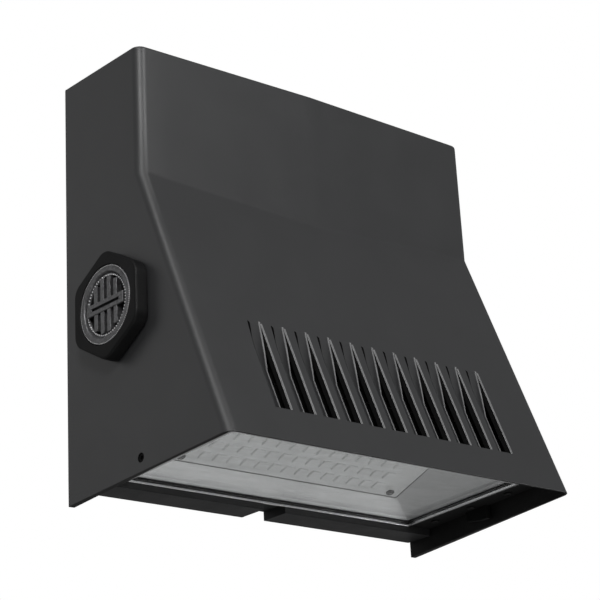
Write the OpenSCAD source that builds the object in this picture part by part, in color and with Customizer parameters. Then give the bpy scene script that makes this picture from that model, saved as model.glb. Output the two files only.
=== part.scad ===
// Wall pack light: a cast hood that hangs on a wall plate, over a sealed LED engine that shines down.
// Heights are measured up from the hood's back bottom corners, and depths forward from its back edge.
// The finished frame has its origin on the wall, at the middle of the bolt pattern.

/* [Hood] */
// Width of the hood at its open back
hood_w = 252; // [244:1:300]
// Height of the hood
hood_h = 248; // [240:1:290]
// Depth of the flat top
hood_top_d = 69; // [62:1:80]
// Height of the bend between the upright front and the sloped front
bend_h = 171; // [160:1:190]
// Depth at the lower lip
hood_base_d = 135; // [130:1:160]
// Height of the front lip above the back corners
lip_rise = 7.8; // [4:0.2:9]
// Thickness of the cast wall
hood_wall = 4; // [3:0.25:5]
// How far the middle of the upright front stands forward of its sides
ridge_d = 2.7; // [0.5:0.1:5]
// Radius of the two long front edges
corner_r = 6; // [5.5:0.5:12]
// Radius round the top face
top_r = 1.5; // [1:0.25:2.5]
// Draft of the side walls towards the front, in degrees
side_draft = 1.9; // [0.5:0.1:3.5]
// Draft of the side walls towards the top, in degrees
rise_draft = 0.2; // [0:0.1:1]

/* [Louvers] */
// How many louvers stand in the row
louver_count = 11; // [5:1:12]
// Distance from one louver to the next
louver_pitch = 15.85; // [14:0.05:17]
// Width of one louver
louver_w = 10.4; // [8:0.1:12]
// Height of the louvers' top end
louver_top_h = 81.3; // [70:0.1:100]
// Length of a louver down the slope
louver_len = 58; // [40:1:62]
// Depth of the pressed-in free edge
louver_depth = 5.5; // [4:0.1:7]
// Length over which the free edge runs in to its full depth
louver_run_in = 31; // [20:1:35]
// Thickness of the pressed-in blade
louver_blade = 2; // [1.5:0.1:3]

/* [Wall plate] */
// Thickness of the foam pad against the wall
gasket_t = 4; // [4:0.5:6]
// Thickness of the wall plate
plate_t = 3.5; // [3:0.25:5]
// Depth of the rim round the wall plate
rim_d = 19.5; // [16:0.5:22]
// Thickness of the rim
rim_t = 3; // [2:0.25:4]
// Height of the bottom flange's underside
flange_h = 8.8; // [8.5:0.1:10]
// Thickness of the bottom flange
flange_t = 5.3; // [4:0.1:6]
// Width of the weep notch in the middle of the bottom flange
notch_w = 16; // [12:1:24]
// Width of the wall bolt pattern
bolts_w = 180; // [150:1:190]
// Height of the lower wall bolts
bolt_low_h = 55; // [52:1:60]
// Distance of the upper wall bolts below the top of the hood
bolt_drop = 43; // [38:1:60]
// Diameter of the wall bolt holes
bolt_d = 6.5; // [5:0.1:8]
// Diameter of the hole for the supply wires
entry_d = 22.2; // [18:0.1:30]
// Distance of the hole for the supply wires below the top of the hood
entry_drop = 82; // [78:1:86]
// Distance between the two slots for a ceiling or wall box
slots_w = 88.9; // [80:0.1:100]
// End to end length of each of the two slots
slot_len = 14; // [8:0.5:18]
// Width of each of the two slots
slot_w = 5; // [4:0.1:6]

/* [Hinge] */
// Diameter of the hinge pins
pin_d = 3; // [2:0.25:3]
// Distance from the middle to each hinge
hinge_x = 92; // [60:1:95]
// Depth of the hinge axis
hinge_f = 5.5; // [5:0.1:6]
// Distance of the hinge axis below the top of the hood
hinge_drop = 7.5; // [7.2:0.1:8.5]

/* [Lens] */
// Space beside the lens at its back edge
margin_back = 21.4; // [21:0.1:30]
// Space beside the lens at its front edge
margin_front = 20.5; // [20:0.1:30]
// Height of the underside of the bright trim
trim_h = 10.6; // [10:0.1:11]
// Thickness of the bright trim
trim_t = 1.5; // [1:0.1:2]
// Width of the bright trim
trim_w = 1.4; // [1:0.1:2]
// Thickness of the lens glass
glass_t = 2.4; // [2:0.1:4]
// Thickness of the seal above the glass
seal_t = 0.7; // [0.5:0.1:1.5]
// Thickness of the lens frame's plate
frame_t = 2; // [1.5:0.1:3]
// Thickness of the rim round the glass
frame_rim_t = 1.5; // [1.2:0.1:2]

/* [Light engine] */
// Tilt of the LED board towards the front, in degrees
board_tilt = 18; // [10:1:20]
// Height of the board plane at its back edge
board_h = 25.1; // [24:0.1:30]
// Width of the board plane at its back edge
board_w = 170; // [150:1:176]
// Space between the board plane's front edge and the inside of the hood
board_room = 8; // [5:0.1:12]
// How far the board plane's back edge lies forward of the lens opening
board_set = 6.5; // [4:0.1:10]
// Columns of optics
optic_cols = 14; // [6:1:15]
// Rows of optics
optic_rows = 6; // [2:1:6]
// Distance between columns
optic_pitch_x = 9.66; // [9:0.01:10.5]
// Space beyond the last row of optics
last_row_room = 17.6; // [14:0.1:22]
// Width of one raised optic
optic_w = 6.4; // [5:0.1:7.5]
// Height of a raised optic
optic_rise = 1.2; // [0.8:0.1:2]
// Thickness of the optic sheet
optic_t = 1.5; // [1.3:0.1:2]
// Thickness of the LED board
pcb_t = 1.6; // [1:0.1:2]
// Thickness of the heat sink's base
sink_t = 5; // [4:0.25:7]
// Height of the heat sink's fins
fin_h = 14; // [8:0.5:15]
// Number of fins
fin_count = 18; // [8:1:22]
// Thickness of a fin
fin_t = 2; // [1.5:0.1:3]

/* [Side port] */
// Depth of the port's centre
port_f = 46.5; // [44:0.5:50]
// Height of the port's centre
port_h = 99; // [96:0.5:125]
// Width of the hexagonal collar across its flats
collar_af = 55; // [50:0.1:56]
// How far the collar stands out of the wall
collar_t = 8.6; // [7:0.1:12]
// Radius of the collar's rounded corners
collar_round = 9; // [4:0.5:12]
// Diameter of the closing plug's face
plug_d = 44; // [40:0.5:45]
// Diameter of the threaded neck
neck_d = 36; // [30:0.5:37]

/* [Electrics] */
// Length of the driver
driver_w = 140; // [110:1:145]
// Height of the driver
driver_h = 40; // [30:1:42]
// Depth of the driver
driver_d = 30; // [20:1:34]
// Height of the driver's underside
driver_z = 98; // [96:1:102]
// Width of the surge protector
surge_w = 46; // [30:1:50]
// Height of the surge protector
surge_h = 26; // [20:1:26]
// Depth of the surge protector
surge_d = 24; // [15:1:30]
// Poles of the terminal block
poles = 3; // [2:1:4]
// Distance between poles
pole_pitch = 11; // [9:0.5:12]

/* [Hidden] */

// Shared values
over = 1;
fit = 0.3;
slide_fit = 0.7;
bore_fn = 48;
post_fn = 32;
bury = 0.3;

// Hood, worked out from its driving sizes
slope_run = (hood_base_d - hood_top_d) / (bend_h - lip_rise);
slope_angle = atan(slope_run);
lip_angle = atan(lip_rise / hood_base_d);
bend_lap = ridge_d / slope_run + corner_r;
hem_drop = 2 * lip_rise + corner_r;

function half_w(f, z) = hood_w / 2 - f * tan(side_draft) - z * tan(rise_draft);
function front_f(z) = hood_base_d - (z - lip_rise) * slope_run;

// Lock screws, through holes in both side walls
lock_f = 64.3;
lock_h = 11.2;
lock_head_d = 4.9;
lock_hole_d = 5.2;
lock_seat_d = 2.6;
lock_head_t = 2;
lock_shank_d = 3;
socket_af = 2.5;

// Wall plate
bolts_h = hood_h - bolt_drop - bolt_low_h;
datum_h = bolt_low_h + bolts_h / 2;
entry_h = hood_h - entry_drop;
plate_low_h = flange_h + flange_t;
hinge_h = hood_h - hinge_drop;
plate_top_h = hinge_h - 2 * pin_d;
plate_gap = slide_fit;
function plate_half_w(z) = half_w(rim_d, z) - hood_wall - plate_gap;
gasket_inset = 5;
boss_d = 8;
boss_t = 3;
screw_d = 4;
screw_head_d = 7.5;
screw_head_t = 2.4;
foot_screw_z = [32, 50];

// Hinge
knuckle_r = hinge_drop - hood_wall - fit;
knuckle_w = 16;
ear_w = 6;
ear_gap = 0.5;
pin_play = 0.05;

// Lens stack, from the bottom up
glass_h = trim_h + trim_t;
seal_h = glass_h + glass_t;
tray_h = seal_h + seal_t;
frame_h = seal_h - frame_t;
frame_gap = 0.8;
glass_play = 0.2;
lens_back_f = rim_d + frame_gap + frame_rim_t + glass_play + trim_w;
lens_front_f = front_f(seal_h) - hood_wall - slide_fit - frame_rim_t - glass_play - trim_w;
lens_back_hw = half_w(lens_back_f, glass_h) - hood_wall - margin_back;
lens_front_hw = half_w(lens_front_f, glass_h) - hood_wall - margin_front;
frame_rim = trim_w + glass_play + frame_rim_t;
tab_face = hood_wall + slide_fit;
tab_side_t = 3;
tab_len_side = 17.4;
tab_low_h = 7;
tab_hole_d = 2.4;

// Light engine
sheet_t = 1.2;
tray_lip = 2;
board_f = lens_back_f + board_set;
board_taper = tan(side_draft);
board_len = (front_f(board_h) - hood_wall / cos(slope_angle) - board_room - board_f)
    / (cos(board_tilt) + slope_run * sin(board_tilt));
board_hw = board_w / 2;
board_front_hw = board_hw - board_len * cos(board_tilt) * board_taper;
board_edge = 2;
chip_w = 3.5;
chip_t = 0.7;
first_row_u = 9.5;
optic_pitch_u = (board_len - first_row_u - last_row_room) / (optic_rows - 1);
board_screw_d = 3;
board_screw_head_d = 5;
board_screw_inset = 9;
connector_w = 16;
connector_u = 6;
connector_t = 5;
lug_t = 5;
sink_low_w = optic_t + pcb_t;
sink_back_z = board_h + (sink_low_w + sink_t) * cos(board_tilt);
sink_screw_shares = [0.25, 0.75];
sink_screw_us = [for (share = sink_screw_shares) share * board_len];

// Brackets
web_t = 2.5;
web_gap = 0.5;
web_x = lens_back_hw + tray_lip + web_gap;
web_front_f = board_f + board_len * cos(board_tilt) - sink_t;
web_top_h = sink_back_z + (web_front_f - board_f) * tan(board_tilt) + lug_t;
foot_w = 12;
foot_x = web_x + web_t + foot_w / 2 + bury;
bracket_flange_w = 12;
bracket_flange_t = 2;
sink_hw = web_x - fit / 2;
frame_screw_x = web_x + web_t + bracket_flange_w / 2;
frame_screw_first = rim_d + rim_t + bracket_flange_w;
frame_screw_last = web_front_f - lug_t;
frame_screw_fs = [frame_screw_first, (frame_screw_first + frame_screw_last) / 2, frame_screw_last];

// Side port
port_recess = 3;
neck_len = 14;
neck_wall = 2;
port_nut_t = 5;
port_nut_d = 50;
port_gasket_t = 1;
rib_count = 4;
rib_t = 1.6;
dish_share = 0.86;
slot_share = 0.7;
ring_d = 2.6;
ring_seat = 4;

// Electrics
device_f = plate_t + boss_t;
tab_len = 12;
tab_t = 2;
device_drop = 52;
surge_x = 62;
surge_z = hood_h - device_drop;
terminal_x = -62;
terminal_z = surge_z;
lead_drop = 14;
terminal_h = 22;
terminal_d = 16;
terminal_edge = 2;
terminal_w = poles * pole_pitch + 2 * terminal_edge;
ground_x = 4;
ground_z = surge_z + lead_drop + screw_d / 2;
quarter_shares = [0.25, 0.75];
wire_r = 1.1;
wire_fn = 8;
wire_f = device_f + driver_d / 2;
lead_gap = 1.6;
lead_out = 6;
lead_turn = 10;
dc_run_drop = 30;
dc_run_h = driver_z - dc_run_drop;
line_run_h = (driver_z + driver_h + terminal_z) / 2;
boss_places = concat(
    [for (x = [-1, 1]) [x * (driver_w / 2 + tab_len / 2), driver_z + driver_h / 2]],
    [for (x = [-1, 1]) [surge_x + x * (surge_w / 2 + tab_len / 2), surge_z + surge_h / 2]]);

// Frames of reference

module place() {
    translate([0, -gasket_t, -datum_h]) children();
}

module side_frame(side, f, z) {
    translate([side * half_w(f, z), -f, z])
        rotate([0, side * (90 - rise_draft), -side * side_draft])
            children();
}

module slope_frame(z) {
    translate([0, -front_f(z), z]) rotate([-slope_angle, 0, 0]) children();
}

module board_frame() {
    translate([0, -board_f, board_h]) rotate([-board_tilt, 0, 0]) children();
}

// Shared shapes

module rod_x(r, len, fn = bore_fn) {
    rotate([0, 90, 0]) cylinder(r = r, h = len, center = true, $fn = fn);
}

module hole_y(r, f0, f1) {
    translate([0, -f0, 0]) rotate([90, 0, 0]) cylinder(r = r, h = f1 - f0, $fn = bore_fn);
}

module pan_screw_y(d, len, head_d, head_t) {
    rotate([90, 0, 0]) difference() {
        union() {
            translate([0, 0, -len]) cylinder(d = d, h = len + bury, $fn = bore_fn);
            cylinder(d = head_d, h = head_t, $fn = bore_fn);
        }
        translate([0, 0, head_t / 2]) cylinder(d = d / 2, h = head_t, $fn = 6);
    }
}

// A closed block between two four-cornered outlines, lower corners first
module block8(low, high) {
    polyhedron(points = concat(low, high), faces = [
        [0, 2, 1], [0, 3, 2], [4, 5, 6], [4, 6, 7],
        [0, 1, 5], [0, 5, 4], [1, 2, 6], [1, 6, 5],
        [2, 3, 7], [2, 7, 6], [3, 0, 4], [3, 4, 7]]);
}

// Hood

module post(x, f, z, r) {
    translate([x, -f, z]) cylinder(r = r, h = bury, $fn = post_fn);
}

// The two ends of one level: round front corners and slim back corners behind the back edge
module hood_level(f, z, inset, trim) {
    r = corner_r - inset - trim;
    skin = inset + trim;
    for (side = [-1, 1]) {
        post(side * (half_w(f - corner_r, z) - corner_r / cos(side_draft)), f - corner_r, z, r);
        post(side * (half_w(-over, z) - skin / cos(side_draft) - top_r), -over - top_r, z, top_r);
    }
}

module hood_upper(inset) {
    top = hood_h - inset;
    low = bend_h - bend_lap;
    hull() {
        hood_level(hood_top_d, low, inset, 0);
        post(0, hood_top_d + ridge_d - corner_r, low, corner_r - inset);
        if (inset == 0) {
            for (turn = [0:30:90]) {
                z = top - bury - top_r * (1 - sin(turn));
                cut = top_r * (1 - cos(turn));
                hood_level(hood_top_d, z, 0, cut);
                post(0, hood_top_d + ridge_d - corner_r, z, corner_r - cut);
            }
        } else {
            hood_level(hood_top_d, top - bury, inset, 0);
            post(0, hood_top_d + ridge_d - corner_r, top - bury, corner_r - inset);
        }
    }
}

module hood_lower(inset) {
    hull() {
        hood_level(hood_top_d, bend_h - bury, inset, 0);
        hood_level(front_f(-hem_drop), -hem_drop, inset, 0);
    }
}

module hood_cuts() {
    // everything behind the back edge
    translate([-hood_w, 0, -hood_h]) cube([2 * hood_w, hood_h, 3 * hood_h]);
    // everything below the lip, which rises to the front
    rotate([-lip_angle, 0, 0])
        translate([-hood_w, -2 * hood_base_d, -hood_h]) cube([2 * hood_w, 3 * hood_base_d, hood_h]);
}

function louver_x(i) = (i - (louver_count - 1) / 2) * louver_pitch - louver_w / 2;

module louver_opening() {
    translate([0, -over, -louver_len])
        cube([louver_w, 2 * hood_wall + over, louver_len]);
}

// One pressed-in blade: flush at the left, and deep at its free right edge
module louver_blade() {
    edge_x = sqrt(louver_w * louver_w - louver_depth * louver_depth);
    shell = [for (n = [0, louver_blade])
        [[-over, bury + n, bury], [louver_w + bury, bury + n, bury],
         [edge_x, louver_depth + n, -louver_run_in], [edge_x, louver_depth + n, -louver_len - bury],
         [-over, bury + n, -louver_len - bury], [-over, bury + n, -louver_run_in]]];
    polyhedron(points = concat(shell[0], shell[1]), faces = [
        [0, 1, 2], [0, 2, 5], [5, 2, 3], [5, 3, 4],
        [6, 8, 7], [6, 11, 8], [11, 9, 8], [11, 10, 9],
        [0, 7, 1], [0, 6, 7], [1, 8, 2], [1, 7, 8],
        [2, 9, 3], [2, 8, 9], [3, 10, 4], [3, 9, 10],
        [4, 11, 5], [4, 10, 11], [5, 6, 0], [5, 11, 6]]);
}

module hinge_ear() {
    ear_r = knuckle_r;
    difference() {
        union() {
            rod_x(ear_r, ear_w);
            translate([-ear_w / 2, -ear_r, 0])
                cube([ear_w, 2 * ear_r, hinge_drop - hood_wall + bury]);
        }
        rod_x(pin_d / 2, ear_w + 2 * over);
    }
}

module hood() {
    color("#2b2c2e") place() {
        difference() {
            union() {
                hood_upper(0);
                hood_lower(0);
            }
            hood_upper(hood_wall);
            hood_lower(hood_wall);
            hood_cuts();
            slope_frame(louver_top_h)
                for (i = [0:louver_count - 1]) translate([louver_x(i), 0, 0]) louver_opening();
            for (side = [-1, 1]) side_frame(side, lock_f, lock_h) {
                translate([0, 0, -lock_seat_d]) cylinder(d = lock_hole_d, h = lock_seat_d + over, $fn = bore_fn);
                translate([0, 0, -hood_wall - over])
                    cylinder(d = lock_shank_d + fit, h = hood_wall + 2 * over, $fn = bore_fn);
            }
            side_frame(-1, port_f, port_h)
                translate([0, 0, -hood_wall - over])
                    cylinder(d = neck_d + 2 * fit, h = hood_wall + 2 * over, $fn = bore_fn);
        }
        slope_frame(louver_top_h)
            for (i = [0:louver_count - 1]) translate([louver_x(i), 0, 0]) louver_blade();
        for (side = [-1, 1], end = [-1, 1])
            translate([side * hinge_x + end * (knuckle_w / 2 + ear_gap + ear_w / 2), -hinge_f, hinge_h])
                hinge_ear();
    }
}

module hinge_pins() {
    color("silver") place()
        for (side = [-1, 1]) translate([side * hinge_x, -hinge_f, hinge_h])
            rod_x(pin_d / 2 - pin_play / 2, knuckle_w + 2 * ear_gap + 2 * ear_w + pin_d);
}

// Lock screws, threaded through the side walls so that their tips bear on the lens frame's tabs

module lock_screws() {
    color("#1a1a1b") place()
        for (side = [-1, 1]) side_frame(side, lock_f, lock_h) difference() {
            union() {
                translate([0, 0, -lock_seat_d]) cylinder(d = lock_head_d, h = lock_head_t, $fn = bore_fn);
                translate([0, 0, fit / 2 - tab_face])
                    cylinder(d = lock_shank_d, h = tab_face - lock_seat_d + bury, $fn = bore_fn);
            }
            translate([0, 0, -lock_seat_d + lock_head_t / 2])
                cylinder(d = socket_af / cos(30), h = lock_head_t, $fn = 6);
        }
}

// Wall plate

module plate_outline(inset, low, high) {
    polygon([[-plate_half_w(low) + inset, low + inset], [plate_half_w(low) - inset, low + inset],
        [plate_half_w(high) - inset, high - inset], [-plate_half_w(high) + inset, high - inset]]);
}

// An upright slab with this outline, from depth f0 to depth f1
module slab(f0, f1) {
    translate([0, -f0, 0]) rotate([90, 0, 0]) linear_extrude(f1 - f0) children();
}

module wall_holes(f0, f1, grow = 0) {
    for (x = [-1, 1], z = [-1, 1])
        translate([x * bolts_w / 2, 0, datum_h + z * bolts_h / 2]) hole_y(bolt_d / 2 + grow, f0, f1);
    translate([0, 0, entry_h]) hole_y(entry_d / 2 + grow, f0, f1);
    for (x = [-1, 1]) translate([x * slots_w / 2, 0, entry_h]) {
        run = (slot_len - slot_w) / 2;
        for (end = [-1, 1]) translate([end * run, 0, 0]) hole_y(slot_w / 2 + grow, f0, f1);
        translate([-run, -f1, -slot_w / 2 - grow]) cube([2 * run, f1 - f0, slot_w + 2 * grow]);
    }
}

module back_plate() {
    low = plate_low_h;
    high = plate_top_h;
    color("#232426") place() difference() {
        union() {
            slab(0, plate_t) plate_outline(0, low, high);
            slab(0, rim_d) difference() {
                plate_outline(0, low, high);
                plate_outline(rim_t, low, high);
            }
            slab(0, rim_d)
                polygon([[-plate_half_w(flange_h), flange_h], [plate_half_w(flange_h), flange_h],
                    [plate_half_w(low), low + rim_t], [-plate_half_w(low), low + rim_t]]);
            for (p = boss_places) translate([p[0], 0, p[1]]) hole_y(boss_d / 2, plate_t - bury, plate_t + boss_t);
            for (side = [-1, 1]) translate([side * hinge_x, -hinge_f, hinge_h]) {
                rod_x(knuckle_r, knuckle_w);
                translate([-knuckle_w / 2, -knuckle_r, -hinge_drop]) cube([knuckle_w, 2 * knuckle_r, hinge_drop]);
            }
            for (side = [-1, 1])
                translate([side * hinge_x - knuckle_w / 2, -hinge_f - knuckle_r, high - rim_t])
                    cube([knuckle_w, hinge_f + knuckle_r - bury, rim_t]);
        }
        for (side = [-1, 1]) translate([side * hinge_x, -hinge_f, hinge_h])
            rod_x(pin_d / 2 + pin_play / 2, knuckle_w + 2 * over);
        translate([-notch_w / 2, -rim_d - over, flange_h - over])
            cube([notch_w, rim_d + 2 * over, flange_t + over]);
        wall_holes(-over, plate_t + over);
        for (p = boss_places) translate([p[0], 0, p[1]])
            hole_y(screw_d / 2, plate_t - screw_d / 2, plate_t + boss_t + over);
        for (side = [-1, 1], z = foot_screw_z) translate([side * foot_x, 0, z])
            hole_y(screw_d / 2, -over, plate_t + over);
        translate([ground_x, 0, ground_z]) hole_y(screw_d / 2, -over, plate_t + over);
    }
}

module wall_gasket() {
    color("#1c1c1c") place() difference() {
        slab(-gasket_t, 0) plate_outline(gasket_inset, plate_low_h, plate_top_h);
        wall_holes(-gasket_t - over, over, fit);
        for (side = [-1, 1], z = foot_screw_z) translate([side * foot_x, 0, z])
            hole_y(screw_head_d / 2, -gasket_t - over, over);
        translate([ground_x, 0, ground_z]) hole_y(screw_head_d / 2, -gasket_t - over, over);
    }
}

// Brackets that carry the light engine

module engine_bracket(side) {
    low = seal_h;
    shape = [[plate_t, foot_screw_z[0] - screw_head_d], [rim_d + rim_t, low + bracket_flange_t],
        [rim_d + rim_t, low], [web_front_f, low], [web_front_f, web_top_h],
        [board_f, sink_back_z + lug_t], [plate_t, foot_screw_z[1] + screw_head_d]];
    color("gray") place() difference() {
        union() {
            translate([side > 0 ? web_x : -web_x - web_t, 0, 0])
                rotate([90, 0, 90]) mirror([1, 0, 0]) linear_extrude(web_t) polygon(shape);
            // foot against the wall plate
            translate([side > 0 ? web_x : -web_x - web_t - foot_w, -plate_t - bracket_flange_t,
                    foot_screw_z[0] - screw_head_d])
                cube([foot_w + web_t, bracket_flange_t, foot_screw_z[1] - foot_screw_z[0] + 2 * screw_head_d]);
            // flange that the lens frame is screwed to
            translate([side > 0 ? web_x : -web_x - web_t - bracket_flange_w, -web_front_f, low])
                cube([bracket_flange_w + web_t, web_front_f - rim_d - rim_t, bracket_flange_t]);
        }
        for (z = foot_screw_z) translate([side * foot_x, 0, z])
            hole_y(screw_d / 2 + fit, plate_t - over, plate_t + bracket_flange_t + over);
        for (f = frame_screw_fs) translate([side * frame_screw_x, -f, low - over])
            cylinder(d = board_screw_d, h = bracket_flange_t + 2 * over, $fn = bore_fn);
        for (u = sink_screw_us) board_frame() translate([side * (web_x + web_t / 2), -u, sink_low_w + sink_t / 2])
            rod_x(board_screw_d / 2 + fit / 2, web_t + 2 * over);
    }
}

module engine_bracket_left() { engine_bracket(-1); }
module engine_bracket_right() { engine_bracket(1); }

module bracket_screws() {
    color("silver") place()
        for (side = [-1, 1], z = foot_screw_z)
            translate([side * foot_x, -plate_t - bracket_flange_t, z])
                pan_screw_y(screw_d, plate_t + bracket_flange_t, screw_head_d, screw_head_t);
}

// Heat sink, its base lying on the back of the LED board

module heat_sink() {
    low = sink_low_w;
    color("#8d9095") place() board_frame() difference() {
        union() {
            translate([-board_hw, -board_len + board_edge, low])
                cube([2 * board_hw, board_len - board_edge, sink_t]);
            // side lugs that reach the brackets
            for (side = [-1, 1], u = sink_screw_us)
                translate([side > 0 ? board_hw - over : -sink_hw, -u - lug_t, low])
                    cube([sink_hw - board_hw + over, 2 * lug_t, sink_t]);
            for (i = [0:fin_count - 1])
                translate([fin_x(i) - fin_t / 2, -board_len + 2 * board_edge, low + sink_t - bury])
                    cube([fin_t, board_len - 3 * board_edge, fin_h + bury]);
        }
        for (p = board_screw_places) translate([p[0], -p[1], low - over])
            cylinder(d = board_screw_d, h = sink_t, $fn = bore_fn);
        for (side = [-1, 1], u = sink_screw_us)
            translate([side * (sink_hw - lug_t / 2 + over), -u, low + sink_t / 2])
                rod_x(board_screw_d / 2, lug_t + 2 * over);
    }
}

function fin_x(i) = (i / (fin_count - 1) - 1 / 2) * (2 * board_hw - 3 * fin_t);

module sink_screws() {
    color("silver") place() board_frame()
        for (side = [-1, 1], u = sink_screw_us)
            translate([side * (web_x + web_t), -u, sink_low_w + sink_t / 2])
                rotate([0, 0, side * 90])
                    pan_screw_y(board_screw_d, web_t + lug_t, board_screw_head_d, board_screw_d / 2);
}

// LED board, chips and the sheet of optics under it

board_screw_places = [for (x = [-1, 1], u = [0, 1])
    [x * (board_hw - board_screw_inset), board_screw_d + board_edge + u * (board_len - 2 * board_screw_d - 3 * board_edge)]];
function optic_x(i) = (i - (optic_cols - 1) / 2) * optic_pitch_x;
function optic_u(j) = first_row_u + j * optic_pitch_u;

module board_screw_holes(r) {
    for (p = board_screw_places) translate([p[0], -p[1], -over])
        cylinder(r = r, h = optic_t + pcb_t + 2 * over, $fn = bore_fn);
}

module board_slab(w0, w1) {
    translate([0, 0, w0]) linear_extrude(w1 - w0)
        polygon([[-board_hw, 0], [-board_front_hw, -board_len + board_edge],
            [board_front_hw, -board_len + board_edge], [board_hw, 0]]);
}

module led_board() {
    color("white") place() board_frame() difference() {
        union() {
            board_slab(optic_t, optic_t + pcb_t);
            translate([-connector_w, 0, optic_t]) cube([2 * connector_w, connector_u, pcb_t]);
        }
        board_screw_holes(board_screw_d / 2 + fit / 2);
    }
}

module led_chips() {
    color("#e8d25a") place() board_frame()
        for (i = [0:optic_cols - 1], j = [0:optic_rows - 1])
            translate([optic_x(i) - chip_w / 2, -optic_u(j) - chip_w / 2, optic_t - chip_t])
                cube([chip_w, chip_w, chip_t]);
}

module board_connector() {
    color("ivory") place() board_frame()
        translate([-connector_w / 2, bury, optic_t + pcb_t]) difference() {
            cube([connector_w, connector_u - 2 * bury, connector_t]);
            for (share = quarter_shares) translate([share * connector_w, connector_u / 2 - bury, connector_t / 2])
                cylinder(r = wire_r, h = connector_t, $fn = bore_fn);
        }
}

module board_screws() {
    color("silver") place() board_frame()
        for (p = board_screw_places) translate([p[0], -p[1], 0]) rotate([90, 0, 0])
            pan_screw_y(board_screw_d, optic_t + pcb_t + sink_t / 2, board_screw_head_d, board_screw_d / 2);
}

module optic_sheet() {
    pocket = chip_w + 2 * fit;
    color("#b9bbbc") place() board_frame() difference() {
        union() {
            board_slab(0, optic_t);
            for (i = [0:optic_cols - 1], j = [0:optic_rows - 1])
                translate([optic_x(i) - optic_w / 2, -optic_u(j) - optic_w / 2, -optic_rise])
                    cube([optic_w, optic_w, optic_rise + bury]);
        }
        for (i = [0:optic_cols - 1], j = [0:optic_rows - 1])
            translate([optic_x(i) - pocket / 2, -optic_u(j) - pocket / 2, optic_t - chip_t - fit])
                cube([pocket, pocket, chip_t + fit + over]);
        board_screw_holes(board_screw_d / 2 + fit / 2);
    }
}

// Reflector: four sloping walls from the lens opening up to the optic sheet

function lens_outline(grow, z) = [
    [-lens_back_hw - grow, -lens_back_f + grow, z], [lens_back_hw + grow, -lens_back_f + grow, z],
    [lens_front_hw + grow, -lens_front_f - grow, z], [-lens_front_hw - grow, -lens_front_f - grow, z]];

// A point of the board plane, moved out by grow and up by rise
function board_point(side, u, grow, rise) =
    [side * ((u > 0 ? board_front_hw : board_hw) + grow),
     -board_f - u * cos(board_tilt) + (u > 0 ? -grow : grow) + rise * sin(board_tilt),
     board_h + u * sin(board_tilt) + rise * cos(board_tilt)];

function board_outline(grow, rise) = [
    board_point(-1, 0, grow, rise), board_point(1, 0, grow, rise),
    board_point(1, board_len - board_edge, grow, rise), board_point(-1, board_len - board_edge, grow, rise)];

module reflector() {
    color("#c3c5c7") place() difference() {
        union() {
            block8(lens_outline(sheet_t, tray_h), board_outline(sheet_t, -bury / 2));
            translate([0, 0, tray_h]) linear_extrude(sheet_t) lens_ring(tray_lip, 0);
        }
        block8(lens_outline(0, tray_h - bury), board_outline(0, bury));
    }
}

module lens_polygon(grow) {
    polygon([for (p = lens_outline(grow, 0)) [p[0], p[1]]]);
}

module lens_ring(outer, inner) {
    difference() {
        lens_polygon(outer);
        lens_polygon(inner);
    }
}

module lens_seal() {
    color("#151515") place() translate([0, 0, seal_h]) linear_extrude(seal_t) lens_ring(trim_w, 0);
}

module lens_glass() {
    color([0.8, 0.85, 0.85, 0.4]) place() translate([0, 0, glass_h]) linear_extrude(glass_t) lens_polygon(trim_w);
}

module lens_trim() {
    color("gainsboro") place() translate([0, 0, trim_h]) linear_extrude(trim_t) lens_ring(trim_w, 0);
}

// Lens frame: a plate that fills the hood's mouth round the lens, with tabs for the lock screws

function frame_hw(f) = half_w(f, seal_h) - hood_wall - slide_fit;

module frame_outline() {
    back = lens_back_f - frame_rim;
    front = lens_front_f + frame_rim;
    side = front - corner_r;
    polygon([[-frame_hw(back), -back], [-frame_hw(side), -side], [-frame_hw(front) + corner_r, -front],
        [frame_hw(front) - corner_r, -front], [frame_hw(side), -side], [frame_hw(back), -back]]);
}

module lock_tab(side) {
    tab_h = seal_h - tab_low_h;
    side_frame(side, lock_f, lock_h)
        translate([side > 0 ? lock_h - seal_h : tab_low_h - lock_h, -tab_len_side / 2, -tab_face - tab_side_t])
            cube([tab_h, tab_len_side, tab_side_t]);
}

module lens_frame() {
    color("#1e1f20") place() difference() {
        union() {
            translate([0, 0, frame_h]) linear_extrude(frame_t) difference() {
                frame_outline();
                lens_polygon(trim_w + glass_play);
            }
            translate([0, 0, trim_h]) linear_extrude(seal_h - trim_h) lens_ring(frame_rim, trim_w + glass_play);
            for (side = [-1, 1]) lock_tab(side);
        }
        for (side = [-1, 1]) side_frame(side, lock_f, lock_h)
            translate([0, 0, -tab_face - tab_side_t - over])
                cylinder(d = tab_hole_d, h = tab_side_t + 2 * over, $fn = bore_fn);
        for (side = [-1, 1], f = frame_screw_fs) translate([side * frame_screw_x, -f, frame_h - over])
            cylinder(d = board_screw_d + fit, h = frame_t + 2 * over, $fn = bore_fn);
    }
}

module frame_screws() {
    color("#1a1a1b") place()
        for (side = [-1, 1], f = frame_screw_fs) translate([side * frame_screw_x, -f, frame_h])
            rotate([90, 0, 0])
                pan_screw_y(board_screw_d, frame_t + bracket_flange_t + board_screw_d, board_screw_head_d, board_screw_d / 2);
}

// Driver, surge protector, terminal block and ground screw on the wall plate

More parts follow.
